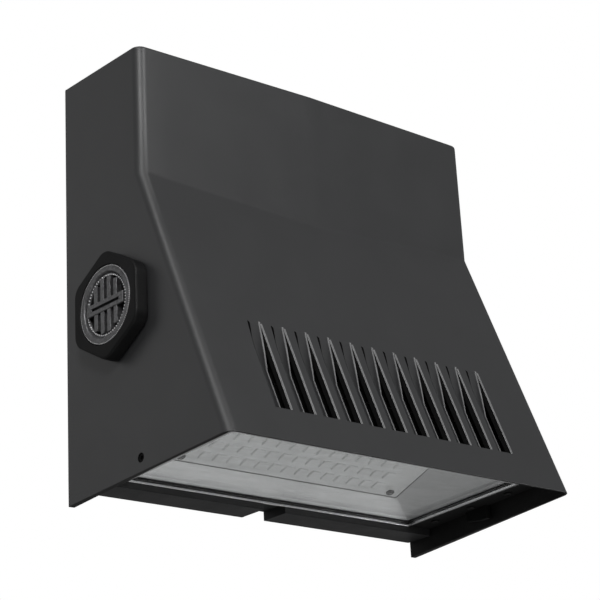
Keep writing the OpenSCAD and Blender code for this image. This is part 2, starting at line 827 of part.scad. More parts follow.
module driver() {
    color("#d9dadb") place() difference() {
        union() {
            translate([-driver_w / 2, -device_f - driver_d, driver_z]) cube([driver_w, driver_d, driver_h]);
            translate([-driver_w / 2 - tab_len, -device_f - tab_t, driver_z])
                cube([driver_w + 2 * tab_len, tab_t, driver_h]);
        }
        for (x = [-1, 1]) translate([x * (driver_w + tab_len) / 2, 0, driver_z + driver_h / 2])
            hole_y(screw_d / 2 + fit, device_f - over, device_f + tab_t + over);
        for (x = [-1, 1], z = [-1, 1])
            translate([x * driver_w / 2, -device_f - driver_d / 2, driver_z + driver_h / 2 + z * pole_pitch / 2])
                rod_x(wire_r, pole_pitch);
    }
}

module driver_screws() {
    color("silver") place()
        for (x = [-1, 1]) translate([x * (driver_w + tab_len) / 2, -device_f - tab_t, driver_z + driver_h / 2])
            pan_screw_y(screw_d, tab_t + boss_t, screw_head_d, screw_head_t);
}

module surge_protector() {
    color("#3a5a8c") place() difference() {
        translate([surge_x - surge_w / 2, -device_f - surge_d, surge_z]) cube([surge_w, surge_d, surge_h]);
        translate([surge_x - pole_pitch / 2, -device_f - surge_d / 2, surge_z - over])
            cylinder(r = wire_r, h = pole_pitch, $fn = bore_fn);
        translate([surge_x + pole_pitch / 2, -device_f - surge_d / 2, surge_z - over])
            cylinder(r = wire_r, h = pole_pitch, $fn = bore_fn);
    }
}

// A saddle of strip steel over the surge protector, with its two screws' holes
module surge_strap() {
    strap_h = surge_h / 2;
    outer = surge_w / 2 + fit;
    color("silver") place() translate([surge_x, 0, surge_z + (surge_h - strap_h) / 2]) difference() {
        union() {
            translate([-outer - tab_t, -device_f - surge_d - fit - tab_t, 0])
                cube([2 * outer + 2 * tab_t, surge_d + fit + tab_t, strap_h]);
            translate([-outer - tab_len, -device_f - tab_t, 0]) cube([2 * outer + 2 * tab_len, tab_t, strap_h]);
        }
        translate([-outer, -device_f - surge_d - fit, -over])
            cube([2 * outer, surge_d + fit + over, strap_h + 2 * over]);
        for (x = [-1, 1]) translate([x * (surge_w + tab_len) / 2, 0, strap_h / 2])
            hole_y(screw_d / 2 + fit, device_f - over, device_f + tab_t + over);
    }
}

module terminal_block() {
    color("ivory") place() translate([terminal_x, -plate_t, terminal_z]) difference() {
        translate([-terminal_w / 2, -terminal_d, 0]) cube([terminal_w, terminal_d, terminal_h]);
        for (i = [0:poles - 1]) translate([(i - (poles - 1) / 2) * pole_pitch, 0, 0]) {
            for (share = quarter_shares) translate([0, 0, share * terminal_h])
                hole_y(screw_d / 2 + fit, terminal_d / 2, terminal_d + over);
            translate([0, -terminal_d / 3, -over]) cylinder(r = wire_r + fit, h = terminal_h + 2 * over, $fn = bore_fn);
        }
    }
}

module terminal_screws() {
    color("silver") place() translate([terminal_x, -plate_t, terminal_z])
        for (i = [0:poles - 1], share = quarter_shares)
            translate([(i - (poles - 1) / 2) * pole_pitch, -terminal_d / 2 - fit, share * terminal_h])
                rotate([90, 0, 0]) difference() {
                    cylinder(d = screw_d, h = screw_d, $fn = bore_fn);
                    translate([-screw_d, -bury, screw_d - over]) cube([2 * screw_d, 2 * bury, 2 * over]);
                }
}

module ground_screw() {
    color("green") place() translate([ground_x, -plate_t, ground_z]) rotate([90, 0, 0]) difference() {
        union() {
            translate([0, 0, -plate_t]) cylinder(d = screw_d, h = plate_t + bury, $fn = bore_fn);
            cylinder(d = 2 * screw_d, h = screw_head_t, $fn = 6);
        }
        translate([-screw_d, -bury, screw_head_t / 2]) cube([2 * screw_d, 2 * bury, screw_head_t]);
    }
}

// Leads, each swept along its own hand-chosen route of depth f and height z at a side place x

function unit(v) = v / norm(v);
function dir_at(path, i) = unit(path[min(i + 1, len(path) - 1)] - path[max(i - 1, 0)]);
function ring_at(p, d, r) =
    let (ref = abs(d[0]) < 0.9 ? [1, 0, 0] : [0, 1, 0], a = unit(cross(d, ref)), b = cross(d, a))
    [for (k = [0:wire_fn - 1]) p + r * (cos(k * 360 / wire_fn) * a + sin(k * 360 / wire_fn) * b)];
function smooth(path) = [for (i = [0:len(path) - 2], k = [0:2])
    let (t = k / 3, a = path[max(i - 1, 0)], b = path[i], c = path[i + 1], d = path[min(i + 2, len(path) - 1)])
    ((2 * b) + (c - a) * t + (2 * a - 5 * b + 4 * c - d) * t * t + (3 * b - a - 3 * c + d) * t * t * t) / 2];

module lead(route) {
    path = concat(smooth(route), [route[len(route) - 1]]);
    n = len(path);
    points = [for (i = [0:n - 1]) each ring_at(path[i], dir_at(path, i), wire_r - bury / 3)];
    sides = [for (i = [0:n - 2], k = [0:wire_fn - 1], half = [0, 1])
        let (a = i * wire_fn + k, b = i * wire_fn + (k + 1) % wire_fn, c = a + wire_fn, d = b + wire_fn)
        half == 0 ? [a, c, b] : [b, c, d]];
    last = (n - 1) * wire_fn;
    ends = concat([for (k = [1:wire_fn - 2]) [0, k, k + 1]],
        [for (k = [1:wire_fn - 2]) [last, last + k + 1, last + k]]);
    polyhedron(points = points, faces = concat(sides, ends));
}

function board_world(x, u, w) = [x, -board_f - u * cos(board_tilt) + w * sin(board_tilt),
    board_h + u * sin(board_tilt) + w * cos(board_tilt)];

module dc_leads() {
    color("firebrick") place()
        for (k = [-1, 1]) {
            aside = k * lead_gap;
            start = [-driver_w / 2, -wire_f, driver_z + driver_h / 2 + k * pole_pitch / 2];
            end = board_world(-k * connector_w / 4, -connector_u / 2, optic_t + pcb_t + connector_t);
            behind = end[1] + lead_gap;
            lead([start, start + [-lead_out, 0, 0], start + [-lead_turn - aside, lead_gap, -lead_out],
                [start[0] - lead_turn - aside, -wire_f + lead_out, driver_z - lead_drop],
                [start[0] / 2, behind, dc_run_h - aside], [end[0] - lead_turn, behind, end[2] + 2 * lead_turn - aside],
                end + [0, lead_gap, lead_out], end]);
        }
}

module line_leads() {
    color("dimgray") place()
        for (k = [-1, 1]) {
            aside = k * lead_gap;
            start = [terminal_x - k * pole_pitch, -plate_t - terminal_d / 3, terminal_z];
            end = [driver_w / 2, -wire_f, driver_z + driver_h / 2 + k * pole_pitch / 2];
            fall = (terminal_z - line_run_h) / 4;
            lead([start, start + [0, 0, -lead_out], [start[0] + lead_turn, -wire_f / 2, line_run_h + fall - aside],
                [0, -wire_f, line_run_h - aside], [end[0] - lead_turn, -wire_f, line_run_h - aside],
                end + [lead_turn - aside, 0, lead_drop], end + [lead_turn - aside, 0, lead_gap],
                end + [lead_out, 0, 0], end]);
        }
}

// Side port: collar, gasket, locknut and the plug that closes it

module hex_prism(af, round, h) {
    reach = (af / 2 - round) / cos(30);
    hull() for (k = [0:5]) rotate([0, 0, k * 60]) translate([reach, 0, 0])
        cylinder(r = round, h = h, $fn = post_fn);
}

module port_collar() {
    bore = neck_d / 2 - neck_wall;
    color("#141414") place() side_frame(-1, port_f, port_h) difference() {
        union() {
            translate([0, 0, port_gasket_t]) hex_prism(collar_af, collar_round, collar_t - port_gasket_t);
            translate([0, 0, -neck_len]) cylinder(d = neck_d, h = neck_len + port_gasket_t + bury, $fn = bore_fn);
        }
        translate([0, 0, collar_t - port_recess]) cylinder(d = plug_d + 2 * fit, h = port_recess + over, $fn = bore_fn);
        translate([0, 0, -neck_len - over]) cylinder(r = bore, h = neck_len + collar_t + over, $fn = bore_fn);
    }
}

module port_gasket() {
    color("#101010") place() side_frame(-1, port_f, port_h) difference() {
        cylinder(d = collar_af - 2 * port_gasket_t, h = port_gasket_t, $fn = bore_fn);
        translate([0, 0, -over]) cylinder(d = neck_d + 2 * fit, h = port_gasket_t + 2 * over, $fn = bore_fn);
    }
}

module port_locknut() {
    color("#2a2a2a") place() side_frame(-1, port_f, port_h)
        translate([0, 0, -hood_wall - port_nut_t - fit / 2]) difference() {
            cylinder(d = port_nut_d, h = port_nut_t, $fn = bore_fn);
            translate([0, 0, -over]) cylinder(d = neck_d, h = port_nut_t + 2 * over, $fn = bore_fn);
            for (k = [0:5]) rotate([0, 0, k * 60]) translate([port_nut_d / 2, 0, -over])
                cylinder(d = port_nut_t, h = port_nut_t + 2 * over, $fn = bore_fn);
        }
}

module port_plug() {
    face_t = port_recess - fit;
    stem_r = neck_d / 2 - neck_wall - pin_play;
    stem_len = neck_len;
    base = collar_t - port_recess + fit / 3;
    dish = face_t / 2;
    dish_r = dish_share * plug_d / 2;
    color("#3c3d3f") place() side_frame(-1, port_f, port_h) {
        difference() {
            union() {
                translate([0, 0, base]) cylinder(d = plug_d, h = face_t, $fn = bore_fn);
                translate([0, 0, base - stem_len]) cylinder(r = stem_r, h = stem_len + bury, $fn = bore_fn);
            }
            translate([0, 0, base + face_t - dish]) cylinder(r = dish_r, h = dish + over, $fn = bore_fn);
            translate([0, 0, base - stem_len - over]) cylinder(r = stem_r - 2 * neck_wall, h = stem_len, $fn = bore_fn);
            translate([0, 0, base - ring_seat]) rotate_extrude($fn = bore_fn)
                translate([stem_r, 0]) circle(d = ring_d, $fn = post_fn);
        }
        // grip bar across the dish, and upright ribs above and below it
        intersection() {
            translate([0, 0, base + face_t - dish - bury]) cylinder(r = dish_r + bury, h = dish + bury, $fn = bore_fn);
            difference() {
                union() {
                    translate([-2 * rib_t, -plug_d, base]) cube([4 * rib_t, 2 * plug_d, face_t]);
                    for (k = [0:rib_count - 1])
                        translate([-plug_d, (k - (rib_count - 1) / 2) * 4 * rib_t - rib_t / 2, base])
                            cube([2 * plug_d, rib_t, face_t - bury]);
                }
                translate([-rib_t / 2, -slot_share * dish_r, base + face_t - dish])
                    cube([rib_t, 2 * slot_share * dish_r, face_t]);
            }
        }
    }
}

module plug_ring() {
    stem_r = neck_d / 2 - neck_wall - pin_play;
    base = collar_t - port_recess + fit / 3;
    color("#101010") place() side_frame(-1, port_f, port_h) difference() {
        translate([0, 0, base - ring_seat]) rotate_extrude($fn = bore_fn)
            translate([stem_r, 0]) circle(d = ring_d, $fn = post_fn);
        translate([0, 0, base - 2 * ring_seat]) difference() {
            cylinder(r = 2 * stem_r, h = 2 * ring_seat, $fn = bore_fn);
            translate([0, 0, -over]) cylinder(r = stem_r, h = 2 * ring_seat + 2 * over, $fn = bore_fn);
        }
    }
}

back_plate();
wall_gasket();
engine_bracket_left();
engine_bracket_right();
bracket_screws();
heat_sink();
sink_screws();
led_board();
led_chips();
board_connector();
board_screws();
optic_sheet();
reflector();
lens_seal();
lens_glass();
lens_trim();
lens_frame();
frame_screws();
driver();
driver_screws();
surge_protector();
surge_strap();
terminal_block();
terminal_screws();
ground_screw();
dc_leads();
line_leads();
hood();
hinge_pins();
lock_screws();
port_collar();
port_gasket();
port_locknut();
port_plug();
plug_ring();
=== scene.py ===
import bmesh
import bpy
from math import atan, atan2, cos, pi, radians, sin, sqrt, tan
from mathutils import Matrix, Vector


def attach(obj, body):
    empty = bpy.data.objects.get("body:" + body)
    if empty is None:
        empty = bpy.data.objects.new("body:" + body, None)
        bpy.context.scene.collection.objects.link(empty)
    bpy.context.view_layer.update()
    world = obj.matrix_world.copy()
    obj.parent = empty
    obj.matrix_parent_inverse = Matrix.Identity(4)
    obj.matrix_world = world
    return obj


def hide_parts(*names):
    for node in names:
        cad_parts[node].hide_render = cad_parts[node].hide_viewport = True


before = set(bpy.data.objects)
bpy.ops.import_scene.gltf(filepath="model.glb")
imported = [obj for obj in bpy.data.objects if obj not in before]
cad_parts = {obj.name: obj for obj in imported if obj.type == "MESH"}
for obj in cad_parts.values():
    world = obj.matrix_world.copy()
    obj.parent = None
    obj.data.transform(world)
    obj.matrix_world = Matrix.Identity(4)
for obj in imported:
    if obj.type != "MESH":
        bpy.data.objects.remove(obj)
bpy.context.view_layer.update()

scene = bpy.context.scene

# The place to look from, and the pale floor far below the lamp.
# The lamp hangs high on a wall, so the eye is low, to its left, and looks up at it.
eye = Vector((-0.70436, -0.87680, -0.40895))
look = Vector((0.60977, 0.7107, 0.35085))
eye_roll = radians(-3.143)
sensor_w, lens_length, near_clip = 36, 120.575, 0.01


def add_object(name, data):
    """Puts a new object with this data into the scene."""
    made = bpy.data.objects.new(name, data)
    scene.collection.objects.link(made)
    return made


camera = add_object("camera", bpy.data.cameras.new("camera"))
camera.location = eye
camera.rotation_mode = "QUATERNION"
roll = Matrix.Rotation(eye_roll, 3, "Z").to_quaternion()
camera.rotation_quaternion = look.to_track_quat("-Z", "Y") @ roll
camera.data.sensor_width = sensor_w
camera.data.lens = lens_length
camera.data.clip_start = near_clip
scene.camera = camera


def fill(tree, node, values):
    """Puts a value or another node's output into each of these sockets."""
    for socket, value in values.items():
        if isinstance(value, bpy.types.NodeSocket):
            tree.links.new(value, node.inputs[socket])
        else:
            node.inputs[socket].default_value = value
    return node


def add_node(tree, kind, values=None, operation=None):
    """A new node of this kind, with its operation and what goes into its sockets."""
    node = tree.nodes.new(kind)
    if operation:
        node.operation = operation
    return fill(tree, node, values or {})


floor_low, floor_size, floor_squares, floor_glow = -1.4, 3.0, 8, 0.75
pale = bpy.data.materials.new("pale floor")
pale.use_nodes = True
tree = pale.node_tree
blotch = add_node(tree, "ShaderNodeTexNoise", {"Scale": 3})
shade = add_node(tree, "ShaderNodeMapRange",
                 {"Value": blotch.outputs["Fac"], "To Min": 0.72, "To Max": 0.78})
surface = fill(tree, tree.nodes["Principled BSDF"],
               {"Base Color": shade.outputs["Result"], "Roughness": 0.8})
# seen straight, the floor is nearly as pale as the surround, and it still takes a shadow
glow = add_node(tree, "ShaderNodeEmission", {"Strength": 1.0})
seen = add_node(tree, "ShaderNodeLightPath")
share = add_node(tree, "ShaderNodeMath", {0: seen.outputs["Is Camera Ray"], 1: floor_glow},
                 "MULTIPLY")
mixed = add_node(tree, "ShaderNodeMixShader", {
    "Fac": share.outputs[0], 1: surface.outputs["BSDF"], 2: glow.outputs["Emission"]})
fill(tree, tree.nodes["Material Output"], {"Surface": mixed.outputs["Shader"]})

floor_mesh = bmesh.new()
bmesh.ops.create_grid(floor_mesh, x_segments=floor_squares, y_segments=floor_squares,
                      size=floor_size)
bmesh.ops.translate(floor_mesh, verts=floor_mesh.verts, vec=(0, -floor_size, floor_low))
floor_data = bpy.data.meshes.new("floor")
floor_mesh.to_mesh(floor_data)
floor_mesh.free()
floor_data.materials.append(pale)
floor = add_object("floor", floor_data)

# The hood: one heavy casting in powder-coated aluminium, with eleven louvers in its sloped front.
# It is made as two skins, outside and inside, joined round the rim and round each louver.
noise_span = {"From Min": 0.3, "From Max": 0.7}
broad_share, least_rough = 40, 0.03


def material(name, colour, rough, metal=0.0, grain=900.0, bump=0.0, mottle=0.06,
             rough_spread=0.08, coat=0.0, stretch=(1, 1, 1), gloss=0.5):
    """A finish with fine noise in its colour, its roughness and its surface."""
    made = bpy.data.materials.new(name)
    made.use_nodes = True
    tree = made.node_tree
    where = add_node(tree, "ShaderNodeTexCoord").outputs["Object"]
    fit = add_node(tree, "ShaderNodeMapping", {"Vector": where, "Scale": stretch}).outputs[0]
    fine = add_node(tree, "ShaderNodeTexNoise", {
        "Vector": fit, "Scale": grain, "Detail": 4, "Roughness": 0.6}).outputs["Fac"]
    broad = add_node(tree, "ShaderNodeTexNoise", {
        "Vector": fit, "Scale": grain / broad_share, "Detail": 3}).outputs["Fac"]
    half = add_node(tree, "ShaderNodeMath", {0: broad, 1: 0.5}, "MULTIPLY").outputs[0]
    both = add_node(tree, "ShaderNodeMath", {0: fine, 1: 0.5, 2: half}, "MULTIPLY_ADD")
    shade = add_node(tree, "ShaderNodeMapRange", {
        "Value": both.outputs[0], **noise_span, "To Min": 1 - mottle, "To Max": 1 + mottle})
    tint = add_node(tree, "ShaderNodeVectorMath", {0: colour, "Scale": shade.outputs["Result"]},
                    "SCALE")
    dull = add_node(tree, "ShaderNodeMapRange", {
        "Value": broad, **noise_span, "To Min": max(rough - rough_spread, least_rough),
        "To Max": min(rough + rough_spread, 1.0)})
    shader = fill(tree, tree.nodes["Principled BSDF"], {
        "Base Color": tint.outputs["Vector"], "Roughness": dull.outputs["Result"],
        "Metallic": metal, "Coat Weight": coat, "Specular IOR Level": gloss})
    if bump:
        raised = add_node(tree, "ShaderNodeBump",
                          {"Height": fine, "Strength": 1.0, "Distance": bump})
        fill(tree, shader, {"Normal": raised.outputs["Normal"]})
    return made


dark_coat = material("dark powder coat", (0.033, 0.0336, 0.035), 0.43, grain=1500, bump=0.00006,
                     mottle=0.05, rough_spread=0.02, gloss=0.75)
# near-black painted shade, given to the hood's inner skin, its rim's underside, the louvers' cut
# walls and slits, the hinge ears and the plug's dish, where shade falls
painted_shade_black = material("near-black painted shade", (0.006, 0.006, 0.006), 0.6, bump=0.00005, gloss=0.25)
# a painted highlight along the louvers' free edges and the openings' right edges
painted_edge_highlight = material("painted highlight on the pressed edges", (0.25, 0.251, 0.254), 0.4, grain=1500,
                     bump=0.00003, mottle=0.05)

MM = 0.001
gasket_t = 4
datum_h = 130
PLACE = Matrix.Scale(MM, 4) @ Matrix.Translation((0, -gasket_t, -datum_h))


def spot(x, f, z):
    """A point x to the right, f forward of the hood's back edge and z up from its back corners."""
    return Vector((x, -f, z))


def to_data(name, mesh):
    """The mesh in metres and in its place, its faces turned outward."""
    bmesh.ops.recalc_face_normals(mesh, faces=mesh.faces)
    mesh.transform(PLACE)
    data = bpy.data.meshes.new(name)
    mesh.to_mesh(data)
    mesh.free()
    return data


def piece(name, mesh, finishes, body, nodes, smooth=32):
    """Hangs a finished mesh, in millimetres, on its body as an object in metres."""
    data = to_data(name, mesh)
    for finish in finishes:
        data.materials.append(finish)
    data.polygons.foreach_set("use_smooth", [True] * len(data.polygons))
    data.set_sharp_from_angle(angle=radians(smooth))
    made = add_object(name, data)
    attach(made, body)
    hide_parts(*nodes)
    return made


def soften(made, width, steps=2, angle=30, weights=False):
    """Rounds the edges by so many millimetres."""
    edge = made.modifiers.new("rounded edges", "BEVEL")
    edge.width = width * MM
    edge.segments = steps
    edge.limit_method = "WEIGHT" if weights else "ANGLE"
    edge.angle_limit = radians(angle)
    edge.harden_normals = True
    edge.use_clamp_overlap = not weights
    edge.miter_outer = "MITER_ARC"


hood_w, hood_h, top_d, base_d = 252, 248, 69, 135
bend_h, lip_rise, wall, ridge = 171, 7.8, 4, 2.7
corner_r, lip_t = 6, 1.4
side_draft, rise_draft = radians(1.9), radians(0.2)
slope_run = (base_d - top_d) / (bend_h - lip_rise)
slope_angle = atan(slope_run)
lip_slope = lip_rise / base_d
louver_count, louver_pitch, louver_w = 11, 15.85, 10.4
louver_top, louver_len = 81.3, 58
louver_low = louver_top - louver_len * cos(slope_angle)
louver_starts = [(i - (louver_count - 1) / 2) * louver_pitch - louver_w / 2
                 for i in range(louver_count)]


def half_width(f, z):
    return hood_w / 2 - f * tan(side_draft) - z * tan(rise_draft)


def front_depth(z):
    return base_d - (z - lip_rise) * slope_run


front_far = 101
front_xs = sorted([x for start in louver_starts for x in (start, start + louver_w)]
                  + [-front_far, 0.0, front_far])
arc_steps = 8
side_stops = (0, 0.33, 0.66)


def hood_row(share, inset, level=None, rear=None):
    """One row of points round the hood. Below the bend, share runs from the rim to the bend."""
    if level is None:
        depth = base_d - (share * bend_h - lip_rise) * slope_run - inset
        depth /= 1 + (1 - share) * lip_slope * slope_run
    else:
        depth = top_d - inset

    def height(f):
        return level if level is not None else (1 - share) * f * lip_slope + share * bend_h

    bent = level is not None or share == 1
    centre_f = depth + inset - corner_r
    centre_x = half_width(centre_f, height(centre_f)) - corner_r / cos(side_draft)
    round_r = corner_r - inset
    row = []
    for q in side_stops:
        f = q * (centre_f + round_r * sin(side_draft))
        skin_t = inset if rear is None else rear + (inset - rear) * q
        row.append((half_width(f, height(f)) - skin_t / cos(side_draft), f, height(f)))
    for k in range(arc_steps + 1):
        turn = side_draft + (pi / 2 - side_draft) * k / arc_steps
        f = centre_f + round_r * sin(turn)
        row.append((centre_x + round_r * cos(turn), f, height(f)))
    for x in reversed(front_xs):
        bulge = ridge * (1 - abs(x) / centre_x) if bent else 0
        z = height(depth) if level is not None or not bent else bend_h - bulge / slope_run
        row.append((x, depth + bulge, z))
    count = len(row) - len(front_xs)
    row += [(-x, f, z) for x, f, z in reversed(row[:count])]
    return [spot(*p) for p in row]


def louver_share(z, inset):
    f = front_depth(z) - inset
    return (z - f * lip_slope) / (bend_h - f * lip_slope)


hood_mesh = bmesh.new()
weight = hood_mesh.edges.layers.float.new("bevel_weight_edge")
near_rim, over_louvers, under_bend, bend = 0.08, 0.6, 0.8, 1.0
skins = []
for inset in (0, wall):
    shares = (near_rim, louver_share(louver_low, inset), louver_share(louver_top, inset),
              over_louvers, under_bend, bend)
    rows = [hood_row(0, lip_t, rear=wall) if inset else hood_row(0, 0)]
    rows += [hood_row(share, inset) for share in shares]
    rows.append(hood_row(bend, inset, (bend_h + hood_h) / 2))
    rows.append(hood_row(bend, inset, hood_h - inset))
    skins.append([[hood_mesh.verts.new(p) for p in row] for row in rows])
outside, inside = skins
low_row, top_row, bend_row, roof_row = 2, 3, 6, len(outside) - 1
columns = len(outside[0])
first_front = len(side_stops) + arc_steps + 1
from_right = list(reversed(front_xs))
louver_columns = []
for start in louver_starts:
    right, left = from_right.index(start + louver_w), from_right.index(start)
    louver_columns += [first_front + k for k in range(right, left)]
# the outer skin takes the coat; the inner skin takes the near-black painted shade
for finish, skin in enumerate(skins):
    for j in range(roof_row):
        for i in range(columns - 1):
            if not (j == low_row and i in louver_columns):
                corners = (skin[j][i], skin[j][i + 1], skin[j + 1][i + 1], skin[j + 1][i])
                hood_mesh.faces.new(corners).material_index = finish
    hood_mesh.faces.new(skin[-1]).material_index = finish


def stitch(a, b, finish=0):
    """Joins the outer and the inner skin along one edge."""
    corners = (outside[a[0]][a[1]], outside[b[0]][b[1]], inside[b[0]][b[1]], inside[a[0]][a[1]])
    hood_mesh.faces.new(corners).material_index = finish


# the rim's underside takes the near-black painted shade
for i in range(columns - 1):
    stitch((0, i), (0, i + 1), 1)
for i in (0, columns - 1):
    for j in range(roof_row):
        stitch((j, i), (j + 1, i))
stitch((roof_row, 0), (roof_row, columns - 1))
# each louver opening's cut walls take the near-black painted shade
for i in louver_columns:
    stitch((low_row, i), (low_row, i + 1), 1)
    stitch((top_row, i), (top_row, i + 1), 1)
    if i - 1 not in louver_columns:
        stitch((low_row, i), (top_row, i), 1)
    if i + 1 not in louver_columns:
        stitch((low_row, i + 1), (top_row, i + 1), 1)

# each edge's share of the widest rounding
hood_round, hood_round_steps = 1.6, 3
roof_share, bend_share, rim_share, inner_rim_share = 1.0, 0.7, 0.15, 0.1
roof_back_share, side_back_share = 0.5, 0.35


def set_weight(a, b, amount):
    edge = hood_mesh.edges.get((a, b))
    if edge:
        edge[weight] = amount


for i in range(columns - 1):
    set_weight(outside[roof_row][i], outside[roof_row][i + 1], roof_share)
    set_weight(outside[0][i], outside[0][i + 1], rim_share)
    set_weight(inside[0][i], inside[0][i + 1], inner_rim_share)
    if first_front - 1 <= i < columns - first_front:
        set_weight(outside[bend_row][i], outside[bend_row][i + 1], bend_share)
set_weight(outside[roof_row][0], outside[roof_row][columns - 1], roof_back_share)
for i in (0, columns - 1):
    for j in range(roof_row):
        set_weight(outside[j][i], outside[j + 1][i], side_back_share)

# hinge ears under the roof, in the near-black painted shade
hinge_x, hinge_f, hinge_drop, ear_r, ear_w = 92, 5.5, 7.5, 3.2, 6
hinge_h = hood_h - hinge_drop
knuckle_w, ear_gap = 16, 0.5
ear_steps, into_roof = 12, 0.3


def bridge(mesh, rings, finish=0, closed=False):
    """Skins a row of rings, each to the next. A ring of one point makes a tip."""
    for a, b in zip(rings, rings[1:] + (rings[:1] if closed else [])):
        count = max(len(a), len(b))
        for k in range(count):
            n = (k + 1) % count
            corners = [a[k], a[n]] if len(a) > 1 else [a[0]]
            corners += [b[n], b[k]] if len(b) > 1 else [b[0]]
            mesh.faces.new(corners).material_index = finish


def slab(mesh, outline, low, high, place, finish=0):
    """A straight piece with this outline, from low to high along the place's third axis."""
    ends = [[mesh.verts.new(place @ Vector((x, y, h))) for x, y in outline] for h in (low, high)]
    bridge(mesh, ends, finish)
    for end in ends:
        mesh.faces.new(end).material_index = finish


along_x = Matrix(((0, 0, 1, 0), (1, 0, 0, 0), (0, 1, 0, 0), (0, 0, 0, 1)))
ear = [(ear_r * cos(pi + pi * k / ear_steps), ear_r * sin(pi + pi * k / ear_steps))
       for k in range(ear_steps + 1)]
ear += [(ear_r, hinge_drop - wall + into_roof), (-ear_r, hinge_drop - wall + into_roof)]
for side in (-1, 1):
    for end in (-1, 1):
        middle = side * hinge_x + end * (knuckle_w / 2 + ear_gap + ear_w / 2)
        place = Matrix.Translation(spot(middle, hinge_f, hinge_h)) @ along_x
        slab(hood_mesh, ear, -ear_w / 2, ear_w / 2, place, 1)
hood = piece("hood_casting", hood_mesh, (dark_coat, painted_shade_black), "cover", ("hood",))

# sunk seats for the two lock screws
lock_f, lock_h, lock_hole_d, lock_seat, seat_over, seat_steps = 64.3, 11.2, 5.2, 2.6, 3, 40


def side_frame(side, f, z):
    """The place on a side wall whose third axis points straight out of the wall."""
    turn = Matrix.Rotation(-side * side_draft, 4, "Z")
    turn = turn @ Matrix.Rotation(side * (pi / 2 - rise_draft), 4, "Y")
    return Matrix.Translation(spot(side * half_width(f, z), f, z)) @ turn


def even_turns(steps):
    return [2 * pi * k / steps for k in range(steps)]


def ring_of(mesh, reaches, turns, h, place):
    """A ring of points round the place's third axis, each at its own reach and turn."""
    return [mesh.verts.new(place @ Vector((r * cos(t), r * sin(t), h)))
            for r, t in zip(reaches, turns)]


def circle(mesh, r, h, place, steps):
    """A round ring of points, or its one middle point."""
    return ring_of(mesh, [r] * steps, even_turns(steps) if r else [0], h, place)


def turned(mesh, profile, place, steps, closed=False):
    """A lathe-turned solid. The profile lists radius and height, bottom to top or all round."""
    rings = [circle(mesh, r, h, place, steps) for r, h in profile]
    bridge(mesh, rings, closed=closed)
    return rings


seat_mesh = bmesh.new()
seat_r = lock_hole_d / 2
for side in (-1, 1):
    turned(seat_mesh, [(0, -lock_seat), (seat_r, -lock_seat), (seat_r, seat_over), (0, seat_over)],
           side_frame(side, lock_f, lock_h), seat_steps)
seat_data = to_data("seat_cutter", seat_mesh)
seat_data.materials.append(painted_shade_black)
seat_cutter = add_object("seat_cutter", seat_data)
seat_cutter.hide_render = True
seat_cutter.hide_viewport = True
cut = hood.modifiers.new("lock screw seats", "BOOLEAN")
cut.operation = "DIFFERENCE"
cut.object = seat_cutter
cut.solver = "EXACT"
soften(hood, hood_round, hood_round_steps, weights=True)

# The louver blades: the strips of the wall between the slots, pressed in at their right edges.
# Each is cast with the hood and left joined to it at the top and along its left edge.
# Their undersides, slit walls and cut faces take the near-black painted shade; the bead along each
# free edge and the opening's right edge take a painted highlight.
blade_t, louver_depth, run_in, first_depth = 2.0, 5.5, 29.0, 0.06
web_w, web_len, web_lap, web_proud = 1.4, 16, 0.3, 0.012
slit_w, slit_extra, slit_full, slit_fade, slit_t = 0.4, 1.15, 5, 7, 2.3
bead_w, bead_crest, bead_h, bead_run, bead_drop = 1.3, 0.6, 0.45, 12, 0.8
edge_in, edge_out, edge_drop, proud, sunk = 0.15, 0.05, 0.45, 0.015, 0.02
root, root_t, slit_side = 0.4, 3, 0.02
edge_lap, edge_side, edge_reach, edge_step, edge_t = 0.85, 0.1, 0.25, 0.3, 1.2
louver_f = front_depth(louver_top)


def on_slope(x, down, deep):
    """A point on the sloped front: down from the louvers' top ends, and deep below the surface."""
    return spot(x, louver_f + down * sin(slope_angle) - deep * cos(slope_angle),
                louver_top - down * cos(slope_angle) - deep * sin(slope_angle))


def strip(mesh, start, stops, section):
    """A bar along the slope. Its section gives x, depth and the finish of the face after it."""
    loops = [[mesh.verts.new(on_slope(start + x, s, n)) for x, n, _ in section(s)] for s in stops]
    finishes = [finish for _, _, finish in section(stops[0])]
    for a, b in zip(loops, loops[1:]):
        for k, finish in enumerate(finishes):
            n = (k + 1) % len(a)
            mesh.faces.new((a[k], a[n], b[n], b[k])).material_index = finish
    mesh.faces.new(loops[0])
    mesh.faces.new(loops[-1])


def web_share(s):
    return 1 - max(s, 0) / web_len


def blade(s):
    """Flush at the top, then pressed in ever deeper towards the free right edge."""
    pressed = s > 0
    deep = louver_depth * (first_depth + (1 - first_depth) * min(s / run_in, 1.0)) if pressed else 0
    reach = sqrt(louver_w ** 2 - deep ** 2) if pressed else louver_w - edge_out
    slit = slit_w + slit_extra * min(max(1 - (s - slit_full) / slit_fade, 0.0), 1.0)
    left = max(0.0, web_w * web_share(s)) + (slit if s >= 0 else 0)
    slant, lift = deep / reach, sunk if pressed else -proud
    bead = bead_h * min(max(s, 0) / bead_run, 1.0)
    across = [left + (reach - left) * q for q in (0, 0.3, 0.6, 0.75)]
    section = [(x, x * slant, 0) for x in across]
    # the bead's faces carry the painted highlight; the free edge, the underside and the slit take
    # the near-black painted shade
    section += [(reach - bead_w, (reach - bead_w) * slant, 2),
                (reach - bead_crest, (reach - bead_crest) * slant - bead, 2),
                (reach - edge_in, reach * slant - bead_drop * bead, 1),
                (reach + edge_out, reach * slant + edge_drop, 1),
                (reach, reach * slant + blade_t, 1), (reach / 2, reach / 2 * slant + blade_t, 1),
                (-root, root_t, 1), (-root, slit_t, 1),
                (left - slit_side, slit_t + left * slant, 1)]
    return [(x, n + lift, finish) for x, n, finish in section]


